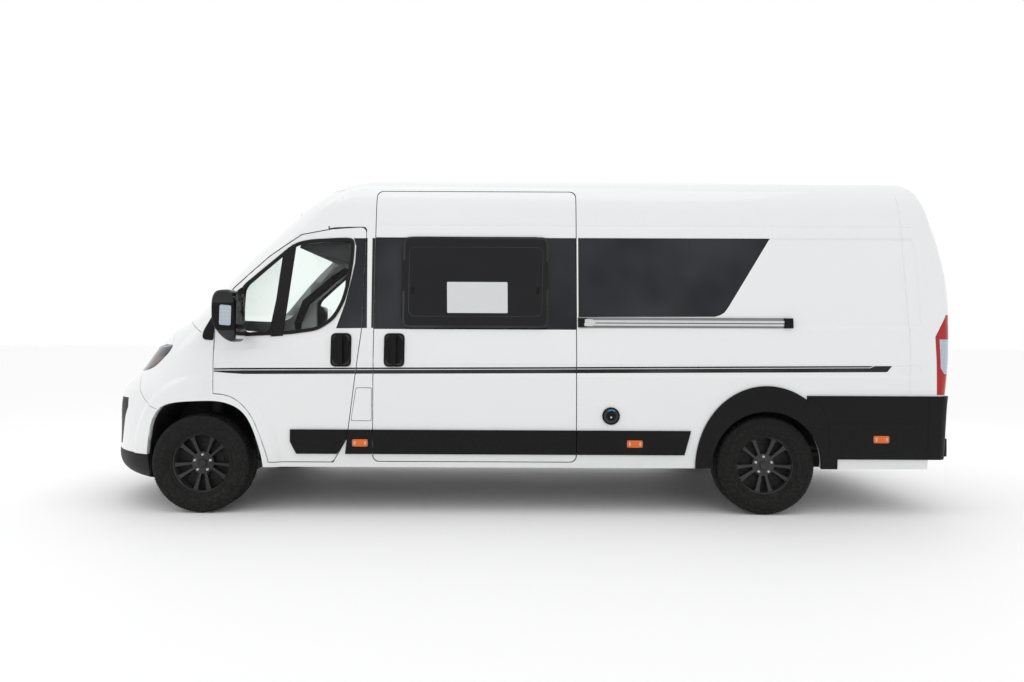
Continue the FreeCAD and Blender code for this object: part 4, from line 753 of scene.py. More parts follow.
stripePanels = ("side_wall", "sliding_door", "cab_door")
pressings = [
    # convex outlines (x, z) pressed out of or into the skin, with the width of their ramps
    {"outline": [(0.461, 1.326), (2.926, 1.344), (2.911, 1.909), (2.880, 1.997), (0.461, 1.993)],
     "height": -0.007, "ramp": 0.016, "panels": ("side_wall",)},
    {"outline": quad(-0.998, 0.441, 1.318, 1.990),
     "height": -0.006, "ramp": 0.014, "panels": ("sliding_door",)},
    {"outline": [(-2.136, 0.985), (2.880, 0.985), (2.905, 1.005), (2.914, 1.033), (2.905, 1.062),
                 (2.880, 1.080), (-2.136, 1.080)],
     "height": -0.004, "ramp": 0.016, "panels": stripePanels},
]
grooves = [
    # lines (x, z) to (x, z), half width and depth
    {"line": ((-1.010, 2.072), (2.870, 2.072)), "half": 0.008, "depth": 0.002,
     "panels": ("side_wall", "sliding_door")},
    {"line": ((2.792, 2.349), (2.832, 1.329)), "half": 0.006, "depth": 0.004, "panels": ("side_wall",)},
    {"line": ((2.832, 1.329), (2.821, 0.866)), "half": 0.006, "depth": 0.004, "panels": ("side_wall",)},
]
blister = {"centre": (-2.220, 0.3535), "half": (0.565, 0.648), "height": 0.013, "ramp": 0.075, "pitch": 0.026,
           "seam": -2.142, "seamFade": 0.110,
           "panels": ("front_wing", "cab_door", "front_bumper", "side_wall")}
doorCrease = {"line": [(-2.150, 1.148), (-2.117, 1.150), (-1.669, 1.181), (-1.385, 1.239), (-1.230, 1.31)],
              "depth": 0.005, "ramp": 0.035}

films = [
    # closed outlines (x, z), finish and the panels they lie on
    {"outline": quad(-1.002, 0.446, 1.320, 1.985), "finish": 1,
     "panels": ("sliding_door", "side_wall_right")},
    {"outline": [(0.461, 1.412), (1.440, 1.418), (1.480, 1.430), (1.510, 1.448), (1.541, 1.490),
                 (1.851, 1.988), (0.461, 1.986)], "finish": 1, "panels": ("side_wall",)},
    {"outline": [(-1.275, 1.323), (-1.060, 1.326), (-1.060, 1.979), (-1.163, 1.979), (-1.144, 1.920),
                 (-1.150, 1.800), (-1.173, 1.681), (-1.215, 1.500)], "finish": 1, "panels": ("cab_door",)},
    {"outline": [(-1.110, 1.326), (-1.052, 1.326), (-1.062, 1.979), (-1.110, 1.979)], "finish": 1,
     "panels": ("side_wall", "cab_frame")},
    {"outline": [(-1.022, 1.327), (-1.000, 1.327), (-1.000, 1.979), (-1.027, 1.979)], "finish": 1,
     "panels": ("side_wall",)},
    {"outline": [(-2.136, 1.0245), (-2.0, 1.0258), (0.0, 1.0390), (2.540, 1.0597), (2.560, 1.0712),
                 (0.0, 1.0515), (-2.0, 1.0382), (-2.136, 1.0355)],
     "finish": 2, "panels": stripePanels},
    {"outline": [(-2.136, 1.0105), (-2.030, 1.0005), (-1.925, 0.9945), (0.0, 1.0070), (2.050, 1.0225),
                 (2.650, 1.0270), (2.662, 1.0295), (2.697, 1.0715), (2.572, 1.0705), (2.540, 1.0560),
                 (0.0, 1.0350), (-1.925, 1.0215), (-2.136, 1.0190)],
     "finish": 2, "panels": stripePanels},
]
seams = [
    # open lines (x, z) where two panels meet; each is painted as a thin grey line, painted shade in the joint
    {"line": [(-2.772, 0.975), (-2.7435, 0.921), (-2.7205, 0.875), (-2.6725, 0.815), (-2.6115, 0.764),
              (-2.545, 0.742)],
     "panels": ("front_wing", "front_bumper")},
    {"line": [(-2.3725, 1.372), (-2.2935, 1.329), (-2.2355, 1.289)], "panels": ("front_wing", "cab_frame")},
    {"line": [(-1.0, 2.3485), (2.960, 2.3485)], "panels": ("side_wall",)},
]
seamHalf = 0.0022
# each seam line becomes a thin grey film on its panels: painted shade in the joint
for seam in seams:
    line = [Vector(p) for p in seam["line"]]
    shift = [Vector((-(b - a).y, (b - a).x)).normalized() * seamHalf
             for a, b in zip([line[0]] + line[:-1], line[1:] + [line[-1]])]
    there = [tuple(p - o) for p, o in zip(line, shift)]
    back = [tuple(p + o) for p, o in zip(line, shift)]
    films.append({"outline": there + back[::-1], "finish": 3, "panels": seam["panels"]})

frontFilm = {
    # black strip beside the grille, as (y, z) from the front
    "outline": [(0.560, 0.801), (0.802, 0.808), (0.808, 0.740), (0.765, 0.663), (0.730, 0.557),
                (0.690, 0.455), (0.430, 0.421), (0.430, 0.423)],
    "finish": 4, "front": -2.80,
}
panelSet = {
    # weld distance, reach of the skin and its top, share of the normal that counts as sideways,
    # step of the slope's measure and the least agreement of a shown normal with its face
    "weld": 0.00002, "skinReach": 0.0013, "skinTop": 2.40, "sideways": 0.5, "step": 0.0015, "agree": 0.6,
}


def turnedRight(outline):
    # the same outline, anticlockwise in (x, z)
    area = sum(a[0] * b[1] - b[0] * a[1] for a, b in zip(outline, outline[1:] + outline[:1]))
    return outline if area > 0 else outline[::-1]


def edgePlanes(outline, offsets=(0.0,), closed=True):
    planes = []
    ends = outline[1:] + outline[:1] if closed else outline[1:]
    for (ax, az), (bx, bz) in zip(outline, ends):
        d = math.hypot(bx - ax, bz - az)
        nx, nz = -(bz - az) / d, (bx - ax) / d
        planes += [((ax + nx * o, 0, az + nz * o), (nx, 0, nz)) for o in offsets]
    return planes


def softStep(t):
    t = np.clip(t, 0.0, 1.0)
    return t * t * (3 - 2 * t)


def insideDepth(x, z, outline):
    # distance from the nearest edge of a convex outline, positive inside
    depth = np.full(x.shape, 1e9)
    for (px, _, pz), (nx, _, nz) in edgePlanes(turnedRight(outline)):
        depth = np.minimum(depth, (x - px) * nx + (z - pz) * nz)
    return depth


def insideOutline(x, z, outline):
    inside = np.zeros(x.shape, bool)
    for (ax, az), (bx, bz) in zip(outline, outline[1:] + outline[:1]):
        crossing = (az > z) != (bz > z)
        with np.errstate(divide="ignore", invalid="ignore"):
            inside ^= crossing & (x < (bx - ax) * (z - az) / (bz - az) + ax)
    return inside


def segmentDistance(x, z, a, b):
    dx, dz = b[0] - a[0], b[1] - a[1]
    t = np.clip(((x - a[0]) * dx + (z - a[1]) * dz) / (dx * dx + dz * dz), 0, 1)
    return np.hypot(x - a[0] - t * dx, z - a[1] - t * dz)


def appliesTo(entry, name):
    return any(name.startswith(start) for start in entry["panels"])


def pressedHeight(name, x, z):
    height = np.zeros(x.shape)
    for entry in pressings:
        if appliesTo(entry, name):
            height += entry["height"] * softStep(insideDepth(x, z, entry["outline"]) / entry["ramp"])
    for entry in grooves:
        if appliesTo(entry, name):
            near = segmentDistance(x, z, *entry["line"]) / entry["half"]
            height -= entry["depth"] * softStep(1.0 - near)
    if appliesTo(blister, name):
        (cx, cz), (hx, hz) = blister["centre"], blister["half"]
        share = softStep(np.abs(x - blister["seam"]) / blister["seamFade"])
        reach = np.hypot((x - cx) / hx, (z - cz) / hz)
        height += blister["height"] * share * softStep((1.0 - reach) / blister["ramp"])
    if name.startswith("cab_door"):
        above = np.full(x.shape, 1e9)
        line = doorCrease["line"]
        for (px, _, pz), (nx, _, nz) in edgePlanes(line, closed=False):
            above = np.minimum(above, (x - px) * nx + (z - pz) * nz)
        height -= doorCrease["depth"] * softStep(above / doorCrease["ramp"])
    return height


def planesFor(name):
    planes = []
    for entry in pressings:
        if appliesTo(entry, name):
            ramp = entry["ramp"]
            planes += edgePlanes(turnedRight(entry["outline"]), (0.0, ramp / 4, ramp / 2, ramp * 0.75, ramp))
    for entry in grooves:
        if appliesTo(entry, name):
            half = entry["half"]
            planes += edgePlanes(list(entry["line"]), (-half, -half / 2, 0.0, half / 2, half), closed=False)
    for entry in films:
        if appliesTo(entry, name):
            planes += edgePlanes(turnedRight(entry["outline"]))
    if appliesTo(blister, name):
        (cx, cz), (hx, hz), pitch = blister["centre"], blister["half"], blister["pitch"]
        planes += [((x, 0, 0), (1, 0, 0)) for x in np.arange(cx - hx, cx + hx + pitch, pitch)]
        planes += [((0, 0, z), (0, 0, 1)) for z in np.arange(cz - 0.02, cz + hz + pitch, pitch)]
    if name == "front_bumper":
        outline = frontFilm["outline"]
        for (ay, az), (by, bz) in zip(outline, outline[1:] + outline[:1]):
            d = math.hypot(by - ay, bz - az)
            planes += [((0, sense * ay, az), (0, sense * (bz - az) / d, -(by - ay) / d)) for sense in (-1, 1)]
    if name.startswith("cab_door"):
        ramp = doorCrease["ramp"]
        planes += edgePlanes(doorCrease["line"], (0.0, ramp / 3, ramp * 2 / 3, ramp), closed=False)
    return planes


def paintedPanel(name, body):
    bm = bmesh.new()
    bm.from_mesh(nodes[name].data)
    bmesh.ops.remove_doubles(bm, verts=bm.verts[:], dist=panelSet["weld"])
    low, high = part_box(name)
    corners = [Vector((x, y, z)) for x in (low.x, high.x) for y in (low.y, high.y) for z in (low.z, high.z)]
    crossing = []
    for point, normal in planesFor(name):
        reach = [(c - Vector(point)).dot(Vector(normal)) for c in corners]
        if min(reach) < -1e-4 and max(reach) > 1e-4:
            crossing.append((point, normal))
    cutPlanes(bm, crossing)
    bmesh.ops.triangulate(bm, faces=[f for f in bm.faces if len(f.verts) > 4])
    bm.verts.index_update()
    co = np.array([v.co for v in bm.verts])
    form = formAt(0.0)
    slope = form.slope(co)
    steep = np.linalg.norm(slope, axis=1)
    steep[steep < 1e-9] = 1.0
    away = form.outside(co) / steep
    normal = slope / steep[:, None]
    outer = (np.abs(away) < panelSet["skinReach"]) & (co[:, 2] < panelSet["skinTop"])
    sideways = np.abs(normal[:, 1]) > panelSet["sideways"]
    height = np.where(sideways, pressedHeight(name, co[:, 0], co[:, 2]), 0.0)
    step = panelSet["step"]
    tilt = np.zeros(co.shape)
    for axis, dx, dz in ((0, step, 0.0), (2, 0.0, step)):
        ahead = pressedHeight(name, co[:, 0] + dx, co[:, 2] + dz)
        behind = pressedHeight(name, co[:, 0] - dx, co[:, 2] - dz)
        tilt[:, axis] = (ahead - behind) / (2 * step)
    tilt *= sideways[:, None]
    tilt -= normal * (tilt * normal).sum(axis=1)[:, None]
    shown = normal - tilt
    shown /= np.linalg.norm(shown, axis=1)[:, None]
    moved = co + normal * (height - away)[:, None] * outer[:, None]
    for v, place in zip(bm.verts, moved):
        v.co = place
    centres = np.array([f.calc_center_median() for f in bm.faces])
    skins = np.array([all(outer[v.index] for v in f.verts) for f in bm.faces])
    which = np.zeros(len(centres), int)
    for entry in films:
        if appliesTo(entry, name):
            lies = insideOutline(centres[:, 0], centres[:, 2], entry["outline"]) & skins
            which[lies] = entry["finish"]
    if name == "front_bumper":
        lies = insideOutline(np.abs(centres[:, 1]), centres[:, 2], frontFilm["outline"])
        lies &= centres[:, 0] < frontFilm["front"]
        which[lies] = frontFilm["finish"]
    bm.normal_update()
    facing = []
    for f, lies, index in zip(bm.faces, skins, which):
        f.material_index = int(index)
        facing.append(bool(lies) and Vector(shown[f.verts[0].index]).dot(f.normal) > panelSet["agree"])
    piece = newPiece(name + "_panel", bm, body,
                     ("bodyWhite", "bandBlack", "stripeBlack", "seamGrey", "claddingBlack"))
    mesh = piece.data
    given = np.zeros((len(mesh.loops), 3))
    for polygon in mesh.polygons:
        if facing[polygon.index]:
            for loop in polygon.loop_indices:
                given[loop] = shown[mesh.loops[loop].vertex_index]
    mesh.normals_split_custom_set(given.tolist())
    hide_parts(name)
    return piece


bodyPanels = ["side_wall_left", "side_wall_right", "sliding_door", "front_wing_left", "front_wing_right",
              "front_bumper", "cab_frame"]
movingPanels = ["bonnet", "cab_door_left", "cab_door_right", "rear_door_left", "rear_door_right", "fuel_flap"]
for name in bodyPanels + movingPanels:
    panel = paintedPanel(name, name if name in movingPanels else "root")
    print("panel", name, len(panel.data.polygons))


# Tyres and wheels

tyre = {
    "radius": 0.3535, "count": 300, "grooveDepth": 0.008, "blockDepth": 0.006,
    # share of the block's depth: low and high on the shoulder, and beside the middle rib
    "shoulderSplit": 0.335, "lowShare": 0.55, "highShare": 0.9, "blockShare": 0.6, "ribDepth": 0.002,
}


def tyreProfile():
    # (radius, across, row) from the inner bead over the tread to the outer bead
    r = tyre["radius"]
    side = [
        (0.2045, 0.0915, ""), (0.2110, 0.0945, ""), (0.2215, 0.0955, ""), (0.2250, 0.1000, ""),
        (0.2310, 0.1008, ""), (0.2345, 0.0990, ""), (0.2480, 0.1030, ""), (0.2600, 0.1060, ""),
        (0.2615, 0.1072, ""), (0.2660, 0.1074, ""), (0.2675, 0.1064, ""), (0.2800, 0.1070, ""),
        (0.2920, 0.1066, ""), (0.2940, 0.1050, ""), (0.2990, 0.1046, ""), (0.3010, 0.1060, ""),
        (0.3090, 0.1048, ""), (0.3110, 0.1028, ""), (0.3150, 0.1022, ""), (0.3165, 0.1032, "shoulder"),
        (0.3260, 0.1008, "shoulder"), (0.3360, 0.0975, "shoulder"), (0.3440, 0.0925, "shoulder"),
        (0.3490, 0.0850, "shoulder"), (r - 0.0030, 0.0760, "shoulder"), (r - 0.0018, 0.0640, "shoulder"),
    ]
    d = tyre["grooveDepth"]
    half = side + [(r - d, 0.0630, ""), (r - d, 0.0550, ""), (r - 0.0014, 0.0540, "block"),
                   (r - 0.0006, 0.0330, "block"), (r - d, 0.0320, ""), (r - d, 0.0230, ""),
                   (r - 0.0003, 0.0220, "rib"), (r, 0.0080, "rib")]
    return half + [(a, -b, c) for a, b, c in half[::-1]]


def makeTyre(label, sense, x, y, body):
    bm = bmesh.new()
    count = tyre["count"]
    rings = []
    for radius, across, row in tyreProfile():
        ring = []
        outerHalf = across > 0
        for i in range(count):
            phase = (i + (0 if outerHalf else 1)) % 3
            r = radius
            if row == "shoulder" and phase == 0:
                r -= tyre["blockDepth"] * tyre["lowShare" if radius < tyre["shoulderSplit"] else "highShare"]
            if row == "block" and phase == 2:
                r -= tyre["blockDepth"] * tyre["blockShare"]
            if row == "rib" and i % 6 == (1 if outerHalf else 4):
                r -= tyre["ribDepth"]
            a = 2 * math.pi * i / count
            place = (x + r * math.cos(a), sense * (y + across), tyre["radius"] + r * math.sin(a))
            ring.append(bm.verts.new(place))
        rings.append(ring)
    faces = bridge(bm, rings + rings[:1])
    bmesh.ops.recalc_face_normals(bm, faces=faces)
    piece = newPiece("tyre_%s_tread" % label, bm, body, ("tyreRubber",), 28.0)
    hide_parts("tyre_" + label)


wheelTrim = {
    # profiles as (share of the radius, along)
    "boltCircle": 0.059, "boltRadius": 0.0078, "face": 0.053,
    "washer": [(0, -0.004), (1.25, -0.004), (1.25, 0.002), (1, 0.004)],
    "bolt": [(1, 0.002), (0.98, 0.010), (0.5, 0.011), (0.42, 0.006), (0, 0.006)],
    "capRadius": 0.030, "capProud": 0.0142,
    "cap": [(0, 0.001), (0.72, 0.0015), (0.80, 0.003), (0.92, 0.003), (0.97, 0.0), (0.97, -0.004)],
}


def makeWheelTrim(label, sense, x, y, body):
    # five bolts with washers and the blank centre cap
    bm = bmesh.new()
    face, circle, high = y + wheelTrim["face"], wheelTrim["boltCircle"], tyre["radius"]
    for k in range(5):
        a = math.radians(90 + 72 * k)
        place = (x + circle * math.cos(a), sense * face, high + circle * math.sin(a))
        for key, count in (("washer", 18), ("bolt", 6)):
            turned(bm, scaled(wheelTrim[key], wheelTrim["boltRadius"]), place, count, sense)
    newPiece("wheel_bolts_" + label, bm, body, ("boltSteel",), 30.0)
    bm = bmesh.new()
    place = (x, sense * (face + wheelTrim["capProud"]), high)
    turned(bm, scaled(wheelTrim["cap"], wheelTrim["capRadius"]), place, 40, sense)
    newPiece("wheel_cap_" + label, bm, body, ("glossBlack",), 40.0)


rimShape = {
    # closed profiles (radius, out from the wheel's middle), spoke stations (along, half width, face)
    # and the spokes' turn
    "barrel": [(0.222, 0.0948), (0.2150, 0.0948), (0.2135, 0.0925), (0.2130, 0.0870), (0.2010, 0.0800),
               (0.1965, 0.0740), (0.1940, 0.0600), (0.1940, -0.0760), (0.2130, -0.0948), (0.222, -0.0948),
               (0.222, -0.0860), (0.203, -0.0860), (0.203, 0.0860), (0.222, 0.0860), (0.222, 0.0948)],
    "hub": [(0, 0.0664), (0.0292, 0.0664), (0.0312, 0.0645), (0.0320, 0.0540), (0.0340, 0.0530),
            (0.0745, 0.0530), (0.0790, 0.0515), (0.0820, 0.0470), (0.0820, 0.0072), (0, 0.0072)],
    "backing": [(0.0800, 0.0130), (0.1400, 0.0150), (0.1440, 0.0120), (0.1939, 0.0120), (0.1939, 0.0090),
                (0.0800, 0.0090), (0.0800, 0.0130)],
    "spoke": [(0.040, 0.0105, 0.0528), (0.085, 0.0108, 0.0545), (0.135, 0.0125, 0.0595),
              (0.178, 0.0150, 0.0650), (0.1955, 0.0215, 0.0668)],
    "depth": 0.034, "edge": 0.0035, "split": 14.0, "turn": 36.0,
}


def makeRim(label, sense, x, y, body):
    bm = bmesh.new()
    high = tyre["radius"]
    for key, material in (("barrel", 0), ("hub", 0), ("backing", 1)):
        turned(bm, rimShape[key], (x, sense * y, high), 96, sense, material)
    edge, depth = rimShape["edge"], rimShape["depth"]
    for k in range(10):
        a = math.radians((k % 2 * 2 - 1) * rimShape["split"] + 72 * (k // 2) + rimShape["turn"])
        rings = []
        for along, half, face in rimShape["spoke"]:
            edgeSide = [(half * 0.75, face - depth), (half, face - edge * 3), (half, face - edge),
                        (half - edge, face), (half * 0.3, face - edge * 0.6)]
            section = [(-w, out) for w, out in edgeSide] + edgeSide[::-1]
            rings.append([bm.verts.new((x + along * math.sin(a) + w * math.cos(a), sense * (y + out),
                                        high + along * math.cos(a) - w * math.sin(a))) for w, out in section])
        capped(bm, rings)
    bmesh.ops.remove_doubles(bm, verts=bm.verts[:], dist=0.00001)
    bmesh.ops.recalc_face_normals(bm, faces=bm.faces[:])
    piece = newPiece("rim_%s_alloy" % label, bm, body, ("wheelBlack", "darkSteel"), 30.0)
    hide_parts("rim_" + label)


for end, x, track in (("front", axleF, van["frontTrack"]), ("rear", axleR, van["rearTrack"])):
    for sense, label in sides:
        wheel = (end + "_" + label, sense, x, track / 2, "wheel_%s_%s" % (end, label))
        makeTyre(*wheel)
        makeRim(*wheel)
        makeWheelTrim(*wheel)
print("wheels made")


# Door mirrors: the shell in two tones, indicator lens, two glasses and two arms

mirror = {
    "outline": [(-2.059, 1.386), (-2.0585, 1.509), (-2.050, 1.545), (-2.032, 1.578), (-1.985, 1.5845),
                (-1.936, 1.584), (-1.905, 1.540), (-1.893, 1.490), (-1.889, 1.400), (-1.888, 1.262),
                (-1.905, 1.224), (-1.940, 1.2205), (-2.000, 1.262), (-2.045, 1.330)],
    # the shell's rings: share of the outline and place outward from the inner face
    "rings": [(0.80, 0.0), (0.93, 0.004), (0.985, 0.018), (1.0, 0.045), (1.0, 0.110), (0.993, 0.145),
              (0.972, 0.169), (0.935, 0.183), (0.88, 0.190), (0.80, 0.1930)],
    "corner": 0.05, "inner": 1.056, "outer": 1.2495, "seam": 1.300, "shoulder": 1.492, "seamHalf": 0.002,
    "lens": [(-1.996, 1.340), (-1.918, 1.335), (-1.914, 1.470), (-1.992, 1.476)],
    "lensSteps": [(1.14, 0.0008, 1), (1.0, 0.0022, 2)], "lensCorner": 0.012, "lensDepth": 0.012,
    "glassX": -1.8877, "glassReach": (1.078, 1.236), "glasses": [(1.245, 1.315), (1.345, 1.555)],
    "arm": [(-1.965, 0.962), (-1.972, 1.01), (-1.978, 1.07)],
    "armHeights": (1.284, 1.462), "armRadius": 0.021,
}


def middleOf(points):
    return Vector((sum(p[0] for p in points) / len(points), sum(p[1] for p in points) / len(points)))


def makeMirror(sense, label):
    bm = bmesh.new()
    rounded = roundedOutline(mirror["outline"], mirror["corner"], 3)
    centre = middleOf(rounded)
    rings = []
    for share, across in mirror["rings"]:
        places = [centre + (Vector(p) - centre) * share for p in rounded]
        rings.append([bm.verts.new((p.x, sense * (mirror["inner"] + across), p.y)) for p in places])
    bmesh.ops.recalc_face_normals(bm, faces=capped(bm, rings))
    cutPlanes(bm, [((0, 0, mirror[key] + end * mirror["seamHalf"]), (0, 0, 1))
                   for key in ("seam", "shoulder") for end in (1, -1)])
    for face in bm.faces:
        z = face.calc_center_median().z
        face.material_index = 1 if mirror["seam"] < z < mirror["shoulder"] else 0
    # indicator lens in its dark rim
    middle = middleOf(mirror["lens"])
    lens = roundedOutline(mirror["lens"], mirror["lensCorner"], 3)
    for grow, proud, material in mirror["lensSteps"]:
        ring = [middle + (Vector(p) - middle) * grow for p in lens]
        front, back = [[bm.verts.new((p.x, sense * (mirror["outer"] + lift), p.y)) for p in ring]
                       for lift in (proud, -mirror["lensDepth"])]
        made = [bm.faces.new(front)] + bridge(bm, [front, back])
        bmesh.ops.recalc_face_normals(bm, faces=made)
        if made[0].normal.y * sense < 0:
            bmesh.ops.reverse_faces(bm, faces=made)
        colourFaces(made, material)
    # the two mirror glasses on the rear face
    for low, high in mirror["glasses"]:
        corners = quad(*mirror["glassReach"], low, high)
        face = bm.faces.new([bm.verts.new((mirror["glassX"], sense * y, z)) for y, z in corners])
        face.normal_update()
        if face.normal.x < 0:
            face.normal_flip()
        face.material_index = 3
    # the two arms into the door
    for height in mirror["armHeights"]:
        tube(bm, [(x, sense * y, height) for x, y in mirror["arm"]], mirror["armRadius"], 14, 1)
    piece = newPiece("mirror_shell_" + label, bm, "cab_door_" + label,
                     ("glossBlack", "claddingBlack", "lampGrey", "chrome"), 32.0)
    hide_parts("mirror_" + label)


# Cab door window: black rubber round the glass, the divider bar and the mirror's corner plate

cabWindow = {
    "outline": [(-1.9605, 1.268), (-1.9605, 1.616), (-1.5875, 1.935), (-1.480, 1.962), (-1.250, 1.975),
                (-1.1675, 1.974), (-1.158, 1.930), (-1.166, 1.800), (-1.190, 1.640), (-1.2215, 1.515),
                (-1.290, 1.390), (-1.4045, 1.313), (-1.600, 1.285)],
    "rim": 0.020,
    "bar": [(-1.738, 1.262), (-1.652, 1.268), (-1.574, 1.938), (-1.668, 1.878)],
    "barEdge": [(-1.664, 1.268), (-1.652, 1.268), (-1.574, 1.938), (-1.585, 1.936)],
    "corner": [(-2.226, 1.262), (-2.212, 1.238), (-2.146, 1.234), (-2.144, 1.440), (-2.160, 1.425),
               (-2.218, 1.305)],
    "sail": [(-2.062, 1.262), (-1.955, 1.266), (-1.955, 1.618), (-1.975, 1.606), (-2.058, 1.536)],
    "sailBar": [(-2.020, 1.262), (-1.998, 1.262), (-1.992, 1.590), (-2.010, 1.575)],
    "quarterPane": [(-1.935, 1.292), (-1.752, 1.292), (-1.650, 1.858), (-1.925, 1.612)],
}


def ringPatch(bm, outer, inner, proud, depth, side, material):
    # a frame between two outlines with the same number of corners, on the skin
    loops = []
    for outline, lift in ((outer, -0.001), (outer, proud), (inner, proud), (inner, -depth)):
        co = np.array(outline)
        y = skinY(co[:, 0], co[:, 1])
        loops.append([bm.verts.new((x, side * (w + lift), z)) for (x, z), w in zip(outline, y)])
    faces = bridge(bm, loops)
    bmesh.ops.recalc_face_normals(bm, faces=faces)
    middle = faces[len(outer)]
    middle.normal_update()
    if middle.normal.y * side < 0:
        bmesh.ops.reverse_faces(bm, faces=faces)
    colourFaces(faces, material)


def offsetOutline(outline, distance):
    # corners moved outward by the distance
    points = turnedRight(outline)
    out = []
    for i, p in enumerate(points):
        a, b = Vector(points[i - 1]), Vector(points[(i + 1) % len(points)])
        p = Vector(p)
        d1, d2 = (p - a).normalized(), (b - p).normalized()
        n1, n2 = Vector((d1.y, -d1.x)), Vector((d2.y, -d2.x))
        n = n1 + n2
        out.append(tuple(p + n * (distance / max(n.dot(n1), 0.3))))
    return out


def makeCabWindow(sense, label):
    body = "cab_door_" + label
    bm = bmesh.new()
    edge = roundedOutline(turnedRight(cabWindow["outline"]), 0.05, 3)
    ringPatch(bm, offsetOutline(edge, 0.006), offsetOutline(edge, -cabWindow["rim"]), 0.002, 0.006, sense, 0)
    sail = roundedOutline(cabWindow["sail"], 0.010, 3)
    for outline, proud, depth, bevel, material in (
            (cabWindow["bar"], 0.0005, 0.006, 0.0, 0), (cabWindow["barEdge"], 0.004, 0.004, 0.001, 0),
            (sail, 0.004, 0.004, 0.0015, 1), (cabWindow["sailBar"], 0.009, 0.004, 0.002, 2)):
        skinPatch(bm, outline, proud, depth, sense, bevel, 0.09, material)
    materials = ("sealRubber", "claddingBlack", "sailGrey")
    newPiece("cab_window_rubber_" + label, bm, body, materials, 40.0)
    bm = bmesh.new()
    skinPatch(bm, roundedOutline(cabWindow["corner"], 0.014, 3), 0.006, 0.004, sense, 0.002, 0.05, 0)
    newPiece("wing_corner_plate_" + label, bm, "root", ("claddingBlack",), 40.0)
    # dark band printed round the front quarter pane
    bm = bmesh.new()
    pane = roundedOutline(turnedRight(cabWindow["quarterPane"]), 0.05, 4)
    ringPatch(bm, offsetOutline(pane, 0.018), pane, -0.0035, 0.0040, sense, 0)
    newPiece("quarter_pane_band_" + label, bm, body, ("sealRubber",), 40.0)


# Living-space windows: hinged acrylic panes in a black frame

sideWindow = {
    "outer": quad(-0.8005, 0.2475, 1.330, 1.988),
    "pane": [(-0.752, 1.416), (0.194, 1.416), (0.206, 1.909), (-0.752, 1.909)],
    "card": [(-0.478, 1.437), (-0.046, 1.437), (-0.048, 1.660), (-0.482, 1.660)],
    "latches": [(-0.726, 1.600), (0.170, 1.600)], "latchHalf": (0.011, 0.026),
}


def makeSideWindow(sense, label):
    bm = bmesh.new()
    outer = roundedOutline(turnedRight(sideWindow["outer"]), 0.055, 5)
    inner = roundedOutline(turnedRight(sideWindow["pane"]), 0.050, 5)
    ringPatch(bm, outer, offsetOutline(outer, -0.016), 0.0128, 0.0, sense, 0)
    ringPatch(bm, offsetOutline(inner, 0.006), inner, 0.0138, 0.0, sense, 0)
    for x, z in sideWindow["latches"]:
        skinPatch(bm, boxOutline(x, z, sideWindow["latchHalf"], 0.006, 2), 0.0134, 0.0, sense, 0.001, 0.06, 1)
    newPiece("side_window_rim_" + label, bm, "root", ("glossBlack", "claddingBlack"), 40.0)


def makeCard():
    # the blank pale card in the left window
    bm = bmesh.new()
    skinPatch(bm, roundedOutline(sideWindow["card"], 0.008, 3), 0.0145, -0.0120, -1, 0.0, 0.06, 0)
    newPiece("blank_card", bm, "root", ("cardGrey",), 40.0)


# Slide rail on the left side: outline, how far it stands out, depth, bevel and material of each part

slideRail = [
    (quad(0.456, 1.995, 1.336, 1.410), 0.004, 0.008, 0.001, 0),  # grey backing
    (quad(0.520, 1.955, 1.372, 1.390), 0.016, 0.006, 0.003, 1),  # silver runners
    (quad(0.500, 1.960, 1.350, 1.366), 0.013, 0.006, 0.003, 1),
    ([(0.505, 1.346), (0.560, 1.346), (0.585, 1.372), (0.560, 1.396), (0.505, 1.396)],
     0.019, 0.006, 0.003, 1),
    (quad(1.930, 1.993, 1.338, 1.408), 0.021, 0.006, 0.003, 2),  # rear bracket
    (quad(0.458, 0.520, 1.340, 1.404), 0.012, 0.006, 0.003, 2),  # end stop
]


def makeSlideRail():
    bm = bmesh.new()
    for outline, proud, depth, bevel, material in slideRail:
        skinPatch(bm, outline, proud, depth, -1, bevel, 0.2, material)
    materials = ("seamGrey", "railSilver", "claddingBlack")
    piece = newPiece("slide_rail_runner", bm, "root", materials, 30.0)
    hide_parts("slide_rail")


# Side markers: amber lens in a rounded holder with clear ends

marker = {"places": [(1.143, 0.510), (3.095, 0.510), (4.845, 0.549)], "half": (0.056, 0.026),
          "lensHalf": (0.046, 0.020), "endShift": 0.037, "endHalf": (0.006, 0.012), "face": 1.0245}


def makeMarkers():
    bm = bmesh.new()
    face = marker["face"]
    for sense, _ in sides:
        for along, z in marker["places"]:
            x = axleF + along
            holder = boxOutline(x, z, marker["half"], 0.014, 4)
            lens = boxOutline(x, z, marker["lensHalf"], 0.01, 4)
            skinPatch(bm, holder, 0.0, 0.010, sense, 0.002, 0.3, 0, face - 0.002)
            skinPatch(bm, lens, 0.0, 0.010, sense, 0.0015, 0.3, 1, face)
            for end in (-1, 1):
                block = boxOutline(x + end * marker["endShift"], z, marker["endHalf"], 0.004, 2)
                skinPatch(bm, block, 0.0006, 0.004, sense, 0.0, 0.3, 2, face)
    piece = newPiece("marker_lenses", bm, "root", ("amberLens", "amberLens", "lampGrey"), 40.0)
    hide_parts("side_markers")


# Water filler: black cap with a grip, a ring and a small blue arc

filler = {
    "x": axleF + 2.926, "z": 0.707, "radius": 0.062,
    "cap": [(0, 0.0125), (0.50, 0.0125), (0.56, 0.0125), (0.60, 0.0145), (0.80, 0.0145), (0.84, 0.012),
            (0.90, 0.012), (0.99, 0.007), (1, 0.0)],
    "arc": (0.62, 0.78), "arcProud": 0.0149, "arcStart": 52, "arcStep": 8, "arcCount": 9,
    "button": [(0, 0.018), (0.10, 0.018), (0.12, 0.0125)], "buttonDrop": 0.008,
}


